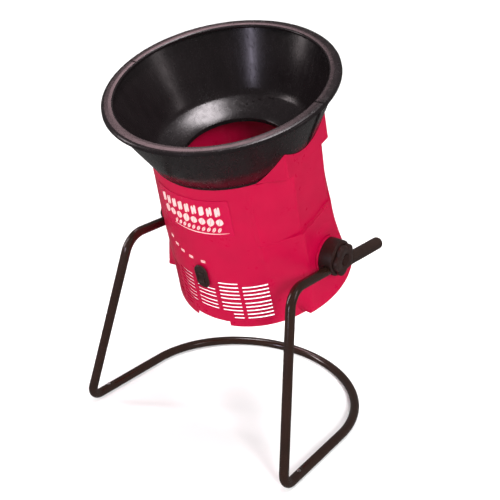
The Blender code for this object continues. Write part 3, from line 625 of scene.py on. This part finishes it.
def quarter_columns(h):
    """Azimuths of the wall's grid lines in the front right quarter, at one height."""
    leave, edge, _, _ = side_plan(h)
    columns = [0.0]
    for mark in COLUMN_MARKS:
        columns += spread(columns[-1], mark, max(2, round((mark - columns[-1]) / 1.4)))
    columns += spread(SLOTS_END, leave - 2.5, 2)
    columns += spread(leave - 2.5, leave + 2.5, 6)
    columns += spread(leave + 2.5, edge - 2.0, 6) if edge - leave > 5 else spread(leave + 2.5, edge, 6)
    columns += spread(columns[-1], edge + 2.5, 7)
    columns += spread(edge + 2.5, 90.0, 11)
    return columns


def ring_columns(h):
    """Azimuths all the way round from the front, each with its azimuth folded into one quarter."""
    quarter = quarter_columns(h)
    right_front = [(a, a) for a in quarter]
    right_back = [(180.0 - a, a) for a in reversed(quarter[:-1])]
    left_back = [(180.0 + a, a) for a in quarter[1:]]
    left_front = [(360.0 - a, a) for a in reversed(quarter[1:-1])]
    return right_front + right_back + left_back + left_front


def cone_limit(radius, clearance):
    """Highest point a wall can reach at a radius without touching the hopper's cone."""
    return max(SEAT_H, SEAT_H + (radius - SEAT_R - clearance) / CONE_SLOPE)


def shell_levels():
    """Heights of the wall's grid lines, up to the lip."""
    levels = [BASE_H]
    for centre in LOWER_ROWS + UPPER_ROWS:
        levels += [centre - SLOT_HALF, centre + SLOT_HALF]
    levels += [VENT_STEP_H - 0.0003, VENT_STEP_H + 0.0003]
    levels += spread(levels[-1], PORT_HIGH, 5)
    levels += spread(PORT_HIGH, WING_TOP - 0.0005, 14)
    levels += spread(WING_TOP - 0.0005, WING_TOP + WING_STEP, 5)
    levels += spread(WING_TOP + WING_STEP, CREASE_H - 0.0030, 26)
    levels += [CREASE_H - 0.0024, CREASE_H - 0.0006, CREASE_H + 0.0002]
    return levels


def is_open(folded, azimuth, low):
    """True where a cell of the wall is cut through, for a slot, the switch or the inlet."""
    rows = [centre - SLOT_HALF for centre in LOWER_ROWS + UPPER_ROWS]
    if folded < PORT_DEG - TINY and PORT_LOW - TINY <= low < PORT_HIGH - TINY:
        return True
    if 90.0 < azimuth < 270.0 and (folded > 24.0 or low < UPPER_ROWS[0] - ROW_PITCH / 2):
        return False
    if not any(abs(low - row) < TINY for row in rows):
        return False
    if not any(start - TINY <= folded < stop - TINY for start, stop in COLUMNS):
        return False
    if folded < 10.0:
        near_port = low > UPPER_ROWS[3] - ROW_PITCH / 2
        near_notch = low < LOWER_ROWS[1] + ROW_PITCH / 2
        return not (near_port or near_notch)
    if low > UPPER_ROWS[-1] - ROW_PITCH / 2:
        return folded < 24.9
    return folded > 17.4 or low > LOWER_ROWS[2] - ROW_PITCH / 2


def wall_mesh(levels, columns_at, point_at, open_at, thickness):
    """A closed tubular wall on a grid of azimuths and heights, cut through at its open cells."""
    bm = bmesh.new()
    grids = []
    for inset in (0.0, thickness):
        grids.append([[bm.verts.new(point_at(azimuth, folded, j, inset))
                       for azimuth, folded in columns_at(j)] for j in range(len(levels))])
    outer, inner = grids
    count = len(outer[0])
    rows = len(levels) - 1
    folds = [columns_at(j) for j in range(rows)]

    def closed(j, i):
        if not 0 <= j < rows:
            return False
        i %= count
        folded = min(folds[j][i][1], folds[j][(i + 1) % count][1])
        return not open_at(folded, folds[j][i][0], levels[j])

    for j in range(rows):
        for i in range(count):
            if not closed(j, i):
                continue
            k = (i + 1) % count
            bm.faces.new((outer[j][i], outer[j][k], outer[j + 1][k], outer[j + 1][i]))
            bm.faces.new((inner[j][k], inner[j][i], inner[j + 1][i], inner[j + 1][k]))
            if not closed(j - 1, i):
                bm.faces.new((inner[j][i], inner[j][k], outer[j][k], outer[j][i]))
            if not closed(j + 1, i):
                bm.faces.new((outer[j + 1][i], outer[j + 1][k], inner[j + 1][k], inner[j + 1][i]))
            if not closed(j, i - 1):
                bm.faces.new((outer[j][i], outer[j + 1][i], inner[j + 1][i], inner[j][i]))
            if not closed(j, k):
                bm.faces.new((outer[j + 1][k], outer[j][k], inner[j][k], inner[j + 1][k]))
    loose = [v for v in bm.verts if not v.link_faces]
    bmesh.ops.delete(bm, geom=loose, context="VERTS")
    return bm


def build_housing():
    levels = shell_levels()
    levels += [levels[-1] + 0.0001 * k for k in range(1, LIP_STEPS + 1)]
    plain = len(levels) - LIP_STEPS

    def columns_at(j):
        return ring_columns(levels[min(j, plain - 1)])

    def point_at(azimuth, folded, j, inset):
        if j < plain:
            dip = CREASE_DIP if CREASE_H - 0.0028 < levels[j] < CREASE_H and folded > FLANK_DEG else 0.0
            return skin_point(azimuth, folded, levels[j], inset + dip)
        x, y, low = skin_point(azimuth, folded, levels[plain - 1], inset)
        top = cone_limit(hypot(x, y), SEAT_CLEARANCE)
        return x, y, low + (top - low) * (j - plain + 1) / LIP_STEPS

    bm = wall_mesh(levels, columns_at, point_at, is_open, WALL)
    shell = to_object(bm, "housing_shell", "red_plastic", "machine", ["housing"], MACHINE,
                      SHELL_SHARP)
    for label, side in SIDES:
        low, high = BOSS_HOLE_SPAN
        hole_r = BOSS_R + BOSS_CLEARANCE
        plug = turned([(0.0, low), (hole_r, low), (hole_r, high), (0.0, high)], 96)
        cutter = loose_object(plug, f"boss_hole_{label}")
        cutter.matrix_world = outward(side)
        subtract(shell, cutter)
    shell.data.shade_smooth()
    shell.data.set_sharp_from_angle(angle=radians(SHELL_SHARP))
    soften(shell, 0.0004, SHELL_SHARP)
    for label, side in SIDES:
        outline = fillet([(STUD_R + GAP, BOSS_X), (BOSS_R, BOSS_X), (BOSS_R, BOSS_ROOT_X),
                          (STUD_R + GAP, BOSS_ROOT_X)], 0.0015)
        to_object(turned(outline, 96), f"boss_{label}", "red_plastic", "machine",
                  [f"pivot_boss_{label}"], outward(side))


def build_base_ring():
    levels = [RING_LOW] + spread(RING_LOW, RING_STEP_H, 3) + spread(RING_STEP_H, BASE_H - GAP, 3)
    notch = [NOTCH_DEG, 180 - NOTCH_DEG, 180 + NOTCH_DEG, 360 - NOTCH_DEG]
    plain = [2.0 * k for k in range(180)]
    azimuths = sorted(notch + [a for a in plain if min(abs(a - n) for n in notch) > 0.5])

    def open_at(_, azimuth, low):
        away = min(abs((azimuth - centre + 180) % 360 - 180) for centre in (0, 180))
        inside = away < NOTCH_DEG - 0.01 or azimuth in (180 - NOTCH_DEG, 360 - NOTCH_DEG)
        return low < RING_STEP_H - 0.0001 and inside

    def point_at(azimuth, _, j, inset):
        r = round_radius(levels[j]) - RING_INSET - inset
        a = radians(azimuth)
        return r * sin(a), -r * cos(a), levels[j]

    bm = wall_mesh(levels, lambda _: [(a, 0.0) for a in azimuths], point_at, open_at, RING_WALL)
    to_object(bm, "ring", "red_plastic", "machine", ["base_ring"], MACHINE,
              SHELL_SHARP, 0.0005)


# Label and raised marks -------------------------------------------------------------------------------

def on_wall(u, h, lift):
    """A point on the round wall, u metres round from the front centre."""
    r = round_radius(h) + lift
    a = u / SEAT_R
    return r * sin(a), -r * cos(a), h


def wall_strip(bm, centre_line, widths, low, high):
    """A thin strip that follows the round wall along (u, h) points, with a half-width at each point."""
    rings = []
    for (u, h), half in zip(centre_line, widths):
        corners = ((h - half, low), (h + half, low), (h + half, high), (h - half, high))
        rings.append([bm.verts.new(on_wall(u, at, lift)) for at, lift in corners])
    capped(bm, rings)


def leaf(bm, centre_u, centre_h, length, width, tilt, lift):
    """A pointed leaf of thin print, with a bare midrib between its two halves."""
    steps = 10
    for half in (-1, 1):
        rings = []
        for k in range(steps + 1):
            t = k / steps
            along = (t - 0.5) * length
            out = width * sin(pi * t) ** 0.8 * 0.5 + MIDRIB_HALF
            ring = []
            for offset, level in ((MIDRIB_HALF, 0.0), (out, 0.0), (out, PRINT_THICK),
                                  (MIDRIB_HALF, PRINT_THICK)):
                u = centre_u + along * sin(tilt) + half * offset * cos(tilt)
                h = centre_h + along * cos(tilt) - half * offset * sin(tilt)
                ring.append(bm.verts.new(on_wall(u, h, lift + level)))
            rings.append(ring)
        capped(bm, rings)


def build_label():
    """The label's film, with rows of slanted bars, leaves and small strokes and an underline as its print."""
    bm = bmesh.new()
    steps = 60
    half = radians(LABEL_HALF_DEG) * SEAT_R
    line = [(-half + 2 * half * k / steps, LABEL_H) for k in range(steps + 1)]
    wall_strip(bm, line, [LABEL_HALF] * (steps + 1), FILM_BACK, FILM_FACE)
    to_object(bm, "label_film", "film", "machine", ["label_panel"], MACHINE, 30)
    bm = bmesh.new()
    for k in range(9):
        start = -0.0800 + 0.0178 * k
        slant = [(start + 0.0013 * m, 0.2090 + 0.0006 * m) for m in range(10)]
        halves = [0.0085, 0.0102, 0.0108, 0.0110, 0.0060 if k % 2 else 0.0110, 0.0040 if k % 3 else 0.0110,
                  0.0110, 0.0108, 0.0102, 0.0085]
        wall_strip(bm, slant, halves, FILM_FACE, PRINT_FACE)
    for k in range(8):
        length = 0.0240 if k % 3 == 0 else 0.0190
        leaf(bm, -0.0680 + 0.0196 * k, 0.1845, length, 0.0150, radians(18.0), FILM_FACE)
    for k in range(10):
        leaf(bm, -0.0420 + 0.0120 * k, 0.1640, 0.0150, 0.0056, radians(30.0), FILM_FACE)
    curve = []
    widths = []
    for k in range(41):
        t = k / 40
        curve.append((-0.0500 + 0.1350 * t, 0.1525 + 0.0030 * (2 * t - 1) ** 2))
        widths.append(0.0003 + 0.0009 * sin(pi * t))
    wall_strip(bm, curve, widths, FILM_FACE, PRINT_FACE)
    to_object(bm, "label_print", "print_and_highlight", "machine", [], MACHINE, 30)


def build_marks():
    """Pairs of short raised dashes below the label, moulded in the housing; their pale colour is a painted
    highlight.
    """
    bm = bmesh.new()
    for azimuth, h in ((-26, 0.096), (-21, 0.082), (-15, 0.074), (-7, 0.069), (3, 0.067)):
        centre = radians(azimuth) * SEAT_R
        for drop in (-0.0020, 0.0020):
            line = [(centre - 0.0055 + 0.0055 * k, h + drop) for k in range(3)]
            wall_strip(bm, line, [0.0009, 0.0011, 0.0009], -0.0002, 0.0008)
    # The dashes take the pale print colour, which paints the highlight on their raised tops.
    to_object(bm, "raised_marks", "print_and_highlight", "machine", [], MACHINE, 30)


# Hopper -----------------------------------------------------------------------------------------------

def notch_azimuths():
    """Azimuths for the rim: even steps, and close ones either side of each notch."""
    close = [centre + d for centre in RIM_NOTCHES for d in (-0.45, -0.35, 0.0, 0.35, 0.45)]
    plain = [1.5 * k for k in range(240)]
    return sorted(close + [a for a in plain if min(abs(a - c) for c in RIM_NOTCHES) > 1.0])


def rim_warp(azimuth, r, h):
    """Sink the rim's top face at its notches."""
    away = min(abs(azimuth - centre) for centre in RIM_NOTCHES)
    if away < 0.4 and h > RIM_TOP - 0.0026:
        return r, h - NOTCH_DEPTH
    return r, h


def build_hopper():
    skirt = RIM_TOP - RIM_SKIRT
    lip = 0.0026
    under = RIM_TOP - 0.0030
    rim = [(RIM_INNER_R, RIM_TOP - 0.0028), (RIM_INNER_R + 0.0030, RIM_TOP - 0.0006),
           (RIM_INNER_R + 0.0100, RIM_TOP), (RIM_R - 0.0080, RIM_TOP), (RIM_R - 0.0030, RIM_TOP - 0.0008),
           (RIM_R - 0.0006, RIM_TOP - 0.0030), (RIM_R, skirt), (RIM_R - lip, skirt), (RIM_R - lip, under),
           (RIM_INNER_R + lip, under), (RIM_INNER_R + lip, RIM_TOP - 0.0080), (RIM_INNER_R, RIM_TOP - 0.0080)]
    bm = turned(fillet(rim, 0.0020), azimuths=notch_azimuths(), warp=rim_warp)
    to_object(bm, "rim", "hopper_plastic", "hopper", ["hopper_rim"], MACHINE, 50)

    seat = SEAT_H + 2 * GAP

    def outside(h):
        return SEAT_R + (h - SEAT_H) * CONE_SLOPE

    outline = [(CONE_TOP_R, CONE_TOP_H)]
    for h, proud in ((0.4034, 0.0), (0.4026, 0.0012), (0.4012, 0.0017), (0.3998, 0.0012), (0.3990, 0.0)):
        outline.append((outside(h) + proud, h))
    outline += [(outside(SEAT_H + 0.0500), SEAT_H + 0.0500), (outside(SEAT_H + 0.0060), SEAT_H + 0.0060)]
    outline += [(SEAT_R + 0.0010, seat + 0.0040), (SEAT_R + 0.0010, seat), (COLLAR_R, seat),
                (COLLAR_R, seat - 0.0040), (THROAT_R + 0.003, THROAT_H - 0.0030)]
    outline += [(THROAT_R + 0.0030, THROAT_H - 0.0100), (THROAT_R, THROAT_H - 0.0100),
                (THROAT_R, THROAT_H - 0.0010), (THROAT_R + 0.0012, THROAT_H)]
    outline += [(THROAT_R + (COLLAR_R - THROAT_R) * t, THROAT_H + (SEAT_H - THROAT_H) * t)
                for t in (0.3, 0.6, 0.9)]
    outline += [(COLLAR_R - 0.0010, SEAT_H + 0.0010)]
    outline += [(outside(SEAT_H + rise) - HOPPER_WALL, SEAT_H + rise)
                for rise in (0.012, 0.040, 0.080, 0.120)]
    outline += [(CONE_TOP_R - HOPPER_WALL, CONE_TOP_H)]
    to_object(turned(outline, 180), "cone", "hopper_plastic", "hopper", ["hopper_cone"],
              MACHINE, 30)

    bm = bmesh.new()
    for centre in RIM_NOTCHES:
        rings = []
        for k in range(17):
            t = k / 16
            h = 0.3980 - 0.1000 * t
            proud = 0.0034 * min(1.0, 12 * t, 6 * (1 - t))
            ring = []
            for width, lift in ((-0.0022, -0.0008), (-0.0014, proud), (0.0014, proud), (0.0022, -0.0008)):
                a = radians(centre) + width / outside(h)
                r = outside(h) + lift
                ring.append(bm.verts.new((r * sin(a), -r * cos(a), h)))
            rings.append(ring)
        capped(bm, rings)
    to_object(bm, "cone_ribs", "hopper_plastic", "hopper", [], MACHINE, 40)

    bm = bmesh.new()
    for azimuth, radius in ((-158, 0.150), (-163, 0.156), (-168, 0.162), (-176, 0.168), (-179, 0.168)):
        h = THROAT_H + (SEAT_H - THROAT_H) * (radius - THROAT_R) / (COLLAR_R - THROAT_R)
        rings = []
        for turn in (-0.9, 0.0, 0.9):
            a = radians(azimuth + turn)
            ring = []
            for out, lift in ((-0.0009, 0.0), (-0.0009, 0.0016), (0.0009, 0.0016), (0.0009, 0.0)):
                r = radius + out
                ring.append(bm.verts.new((r * sin(a), -r * cos(a), h + lift)))
            rings.append(ring)
        capped(bm, rings)
    to_object(bm, "ledge_marks", "hopper_plastic", "hopper", [], MACHINE, 30)


# Tilt clamps ------------------------------------------------------------------------------------------

def knob_outline(inset):
    """The lobed outline of a knob, drawn in by an inset."""
    points = []
    steps = 24
    for k in range(KNOB_LOBES * steps):
        a = 2 * pi * k / (KNOB_LOBES * steps)
        wave = (0.5 + 0.5 * cos(KNOB_LOBES * (a - KNOB_TURN))) ** 0.7
        r = KNOB_HOLLOW_R + (KNOB_R - KNOB_HOLLOW_R) * wave - inset
        points.append((r * cos(a), r * sin(a)))
    return points


def knob_mesh():
    """A star knob with its neck, dished face and the well that holds the nut."""
    count = len(knob_outline(0.0))

    def circle(radius):
        return [(radius * cos(2 * pi * k / count), radius * sin(2 * pi * k / count)) for k in range(count)]

    floor = KNOB_OUT - DISH_DEPTH
    layers = [(circle(KNOB_NECK_R), HUB_FLOOR + GAP), (circle(KNOB_NECK_R), KNOB_IN)]
    for inset, h in ((0.0030, KNOB_IN), (0.0010, KNOB_IN + 0.0007), (0.0, KNOB_IN + 0.0024),
                     (0.0, KNOB_OUT - 0.0050), (0.0006, KNOB_OUT - 0.0026), (0.0020, KNOB_OUT - 0.0009),
                     (0.0044, KNOB_OUT - 0.0002), (0.0070, KNOB_OUT)):
        layers.append((knob_outline(inset), h))
    layers += [(circle(DISH_R + 0.0014), KNOB_OUT), (circle(DISH_R + 0.0005), KNOB_OUT - 0.0004),
               (circle(DISH_R), KNOB_OUT - 0.0014), (circle(WELL_R + 0.0006), WELL_TOP + 0.0008),
               (circle(WELL_R), WELL_TOP - 0.0004), (circle(WELL_R), floor),
               (circle(STUD_R + GAP), floor), (circle(STUD_R + GAP), HUB_FLOOR + GAP)]
    bm = bmesh.new()
    rings = [[bm.verts.new((x, y, h)) for x, y in outline] for outline, h in layers]
    bridge(bm, rings + rings[:1])
    return bm


def build_clamps():
    stand_frame = Matrix.Translation(PIVOT)
    for label, side in SIDES:
        to_object(knob_mesh(), f"knob_{label}_body", "black_plastic", f"knob_{label}",
                  [f"clamp_knob_{label}"], outward(side), 35)
        outline = fillet([(STUD_R + GAP, HUB_FLOOR), (HUB_RECESS_R, HUB_FLOOR), (HUB_RECESS_R, HUB_OUT),
                          (HUB_R - 0.0050, HUB_OUT), (HUB_R - 0.0042, HUB_OUT - 0.0010),
                          (HUB_R, HUB_OUT - 0.0026), (HUB_R, HUB_IN), (STUD_R + GAP, HUB_IN)], 0.0012)
        path = [mirrored(KNEE, side), mirrored(ARM_END, side)]
        channel = loose_object(swept(path, [TUBE_R + GAP] * 2, 48), f"channel_{label}")
        place = outward(side, stand_frame)
        hub = to_object(turned(outline, 96), f"hub_{label}", "black_plastic", "stand",
                        [f"tilt_hub_{label}"], place, 35)
        subtract(hub, channel)


# Switch -----------------------------------------------------------------------------------------------

def oval(half_x, half_z, steps=20):
    """An upright oval: two straight sides and two half circles."""
    straight = half_z - half_x
    top = [(half_x * cos(pi * k / steps), straight + half_x * sin(pi * k / steps)) for k in range(steps + 1)]
    return top + [(-x, -z) for x, z in top]


def build_switch():
    wall = round_radius(PORT_H)
    plate = wall + BEZEL_LIFT
    front = MACHINE @ Matrix.Translation((0, 0, PORT_H)) @ Matrix.Rotation(pi / 2, 4, "X")
    half_x, half_z = BEZEL_HALF
    win_x, win_z = WINDOW_HALF
    bm = bmesh.new()
    layers = []
    for inset, h in ((0.0, plate - 0.0004), (0.0, plate + 0.0026), (0.0006, plate + 0.0040),
                     (0.0020, plate + 0.0048), (0.0036, plate + BEZEL_THICK)):
        layers.append((oval(half_x - inset, half_z - inset), h))
    window = []
    for x, z in layers[0][0]:
        reach = max(abs(x) / win_x, abs(z) / win_z)
        window.append((x / reach, z / reach))
    layers += [([(x * 1.05, z * 1.03) for x, z in window], plate + BEZEL_THICK),
               (window, plate + BEZEL_THICK - 0.0008), (window, plate - 0.0004)]
    rings = [[bm.verts.new((x, z, h)) for x, z in outline] for outline, h in layers]
    bridge(bm, rings + rings[:1])
    to_object(bm, "bezel", "black_plastic", "machine", ["switch_bezel"], front, 40)

    rocker_x, rocker_z = ROCKER_HALF
    low = plate - ROCKER_LOW
    side_view = [(-rocker_z, low + 0.0030), (0.0, low + 0.0006), (rocker_z, low + 0.0030)]
    for k in range(13):
        t = 1 - 2 * k / 12
        height = plate + 0.0040 + 0.0022 * max(t, 0.0) ** 2 + 0.0050 * max(-t, 0.0) ** 2
        side_view.append((rocker_z * t, height))
    outline = fillet(side_view, 0.0008, 3)
    bm = extruded([(z, r) for z, r in outline], -rocker_x, rocker_x)
    bm.transform(Matrix(((0, 0, 1, 0), (1, 0, 0, 0), (0, 1, 0, 0), (0, 0, 0, 1))))
    to_object(bm, "rocker_cap", "black_plastic", "rocker", ["switch_rocker"], front, 40,
              0.0006)


# Carried-over nodes -----------------------------------------------------------------------------------

KEPT = {
    "steel": ["loop_screw_left", "loop_screw_right", "tilt_stud_left", "tilt_stud_right", "motor_screw_1",
              "motor_screw_2", "motor_screw_3", "motor_can", "upper_end_bell", "lower_end_bell",
              "upper_bearing", "lower_bearing", "stator_core", "inlet_blade_left", "inlet_blade_right",
              "motor_shaft", "head_nut", "line_clip_a_left", "line_clip_a_right", "line_clip_b_left",
              "line_clip_b_right", "knob_nut_left", "knob_nut_right", "cutter_head"],
    "black_plastic": ["motor_mount", "brush_left", "brush_right", "motor_cover", "cooling_fan", "switch_body",
                      "inlet_shroud"],
    "copper": ["armature", "commutator"],
    "nylon": ["cutting_line_a", "cutting_line_b"],
    "lead": ["lead_inlet_to_switch", "lead_switch_to_motor"],
}


def dress_kept_nodes():
    for skin, nodes in KEPT.items():
        for node in nodes:
            for slot in frame["nodes"][node].material_slots:
                slot.material = SKINS[skin]


# Studio -----------------------------------------------------------------------------------------------

def add_camera():
    az, el, roll = (radians(v) for v in (CAMERA_AZIMUTH, CAMERA_ELEVATION, CAMERA_ROLL))
    look = Vector((-sin(az) * cos(el), cos(az) * cos(el), -sin(el)))
    level = Vector((cos(az), sin(az), 0.0))
    right = level * cos(roll) + level.cross(look) * sin(roll)
    up = right.cross(look)
    data = bpy.data.cameras.new("camera")
    data.lens = CAMERA_LENS
    data.clip_end = 60.0
    camera = bpy.data.objects.new("camera", data)
    turn = Matrix((right, up, -look)).transposed().to_4x4()
    camera.matrix_world = Matrix.Translation(CAMERA_PLACE) @ turn
    bpy.context.scene.collection.objects.link(camera)
    bpy.context.scene.camera = camera


def add_area(name, place, target, size, power, colour=WARM_WHITE):
    """A soft box that shines towards a target and does not show to the camera."""
    data = bpy.data.lights.new(name, "AREA")
    data.shape = "RECTANGLE"
    data.size, data.size_y = size
    data.energy = power
    data.color = colour
    light = bpy.data.objects.new(name, data)
    aim = (Vector(target) - Vector(place)).to_track_quat("-Z", "Y")
    light.matrix_world = Matrix.Translation(place) @ aim.to_matrix().to_4x4()
    light.visible_camera = False
    bpy.context.scene.collection.objects.link(light)


def add_sun(name, towards, strength, softness):
    """A distant light whose direction to it is given; softness is its width in degrees."""
    data = bpy.data.lights.new(name, "SUN")
    data.energy = strength
    data.angle = radians(softness)
    light = bpy.data.objects.new(name, data)
    light.matrix_world = Vector(towards).to_track_quat("Z", "Y").to_matrix().to_4x4()
    light.visible_glossy = False
    bpy.context.scene.collection.objects.link(light)


def glowing_backdrop():
    """An even white for the studio's wall, so that it needs no light of its own."""
    made = SKINS["floor"].copy()
    made.name = "backdrop"
    shader = made.node_tree.nodes["Principled BSDF"]
    shader.inputs["Emission Color"].default_value = (1.0, 1.0, 1.0, 1.0)
    shader.inputs["Emission Strength"].default_value = 1.0
    return made


def stage_object(bm, name, skin):
    """A piece of the studio, which does not show in gloss."""
    mesh = bpy.data.meshes.new(name)
    bm.to_mesh(mesh)
    bm.free()
    mesh.materials.append(skin)
    made = bpy.data.objects.new(name, mesh)
    bpy.context.scene.collection.objects.link(made)
    made.visible_glossy = False
    return made


def add_studio():
    scene = bpy.context.scene
    scene.view_settings.view_transform = "Standard"
    bm = bmesh.new()
    bmesh.ops.create_grid(bm, x_segments=24, y_segments=24, size=FLOOR_HALF)
    floor = stage_object(bm, "floor", SKINS["floor"])
    bm = bmesh.new()
    bmesh.ops.create_cone(bm, cap_ends=False, segments=96, radius1=BACKDROP_R, radius2=BACKDROP_R,
                          depth=BACKDROP_HEIGHT)
    backdrop = stage_object(bm, "backdrop", glowing_backdrop())
    backdrop.visible_diffuse = False
    backdrop.visible_shadow = False
    world = bpy.data.worlds.new("studio")
    world.use_nodes = True
    sky = world.node_tree.nodes["Background"]
    sky.inputs["Color"].default_value = (1.0, 0.97, 0.96, 1.0)
    sky.inputs["Strength"].default_value = WORLD_STRENGTH
    scene.world = world
    middle = (0.0, 0.0, 0.5)
    add_sun("key", (0.95, -0.72, 0.62), 3.2, 20.0)
    add_sun("left", (-0.9, -0.9, 0.45), 1.5, 30.0)
    add_sun("right", (1.0, -0.2, 0.35), 0.9, 30.0)
    add_sun("overhead", (0.1, 0.3, 1.0), 1.3, 30.0)
    add_area("sheen", (-1.30, 0.50, 2.60), (0.1, -0.2, 0.8), (0.8, 0.6), 10.0, (1.0, 0.66, 0.72))
    add_area("ceiling_box", (-0.03, -0.20, 2.70), (-0.15, 0.0, 0.7), (0.5, 0.9), 44.0, (1.0, 0.92, 0.96))
    add_area("left_strip", (-2.2, -1.5, 1.5), middle, (0.35, 1.8), 26.0)
    add_area("right_strip", (2.3, 0.1, 1.7), middle, (0.3, 1.4), 6.0)
    add_area("low_front", (-0.05, -3.0, 0.62), (0.0, 0.2, 0.8), (0.22, 0.7), 11.0, (0.86, 0.78, 1.0))


add_camera()
add_studio()
build_stand()
build_housing()
build_base_ring()
build_label()
build_marks()
build_hopper()
build_clamps()
build_switch()
dress_kept_nodes()
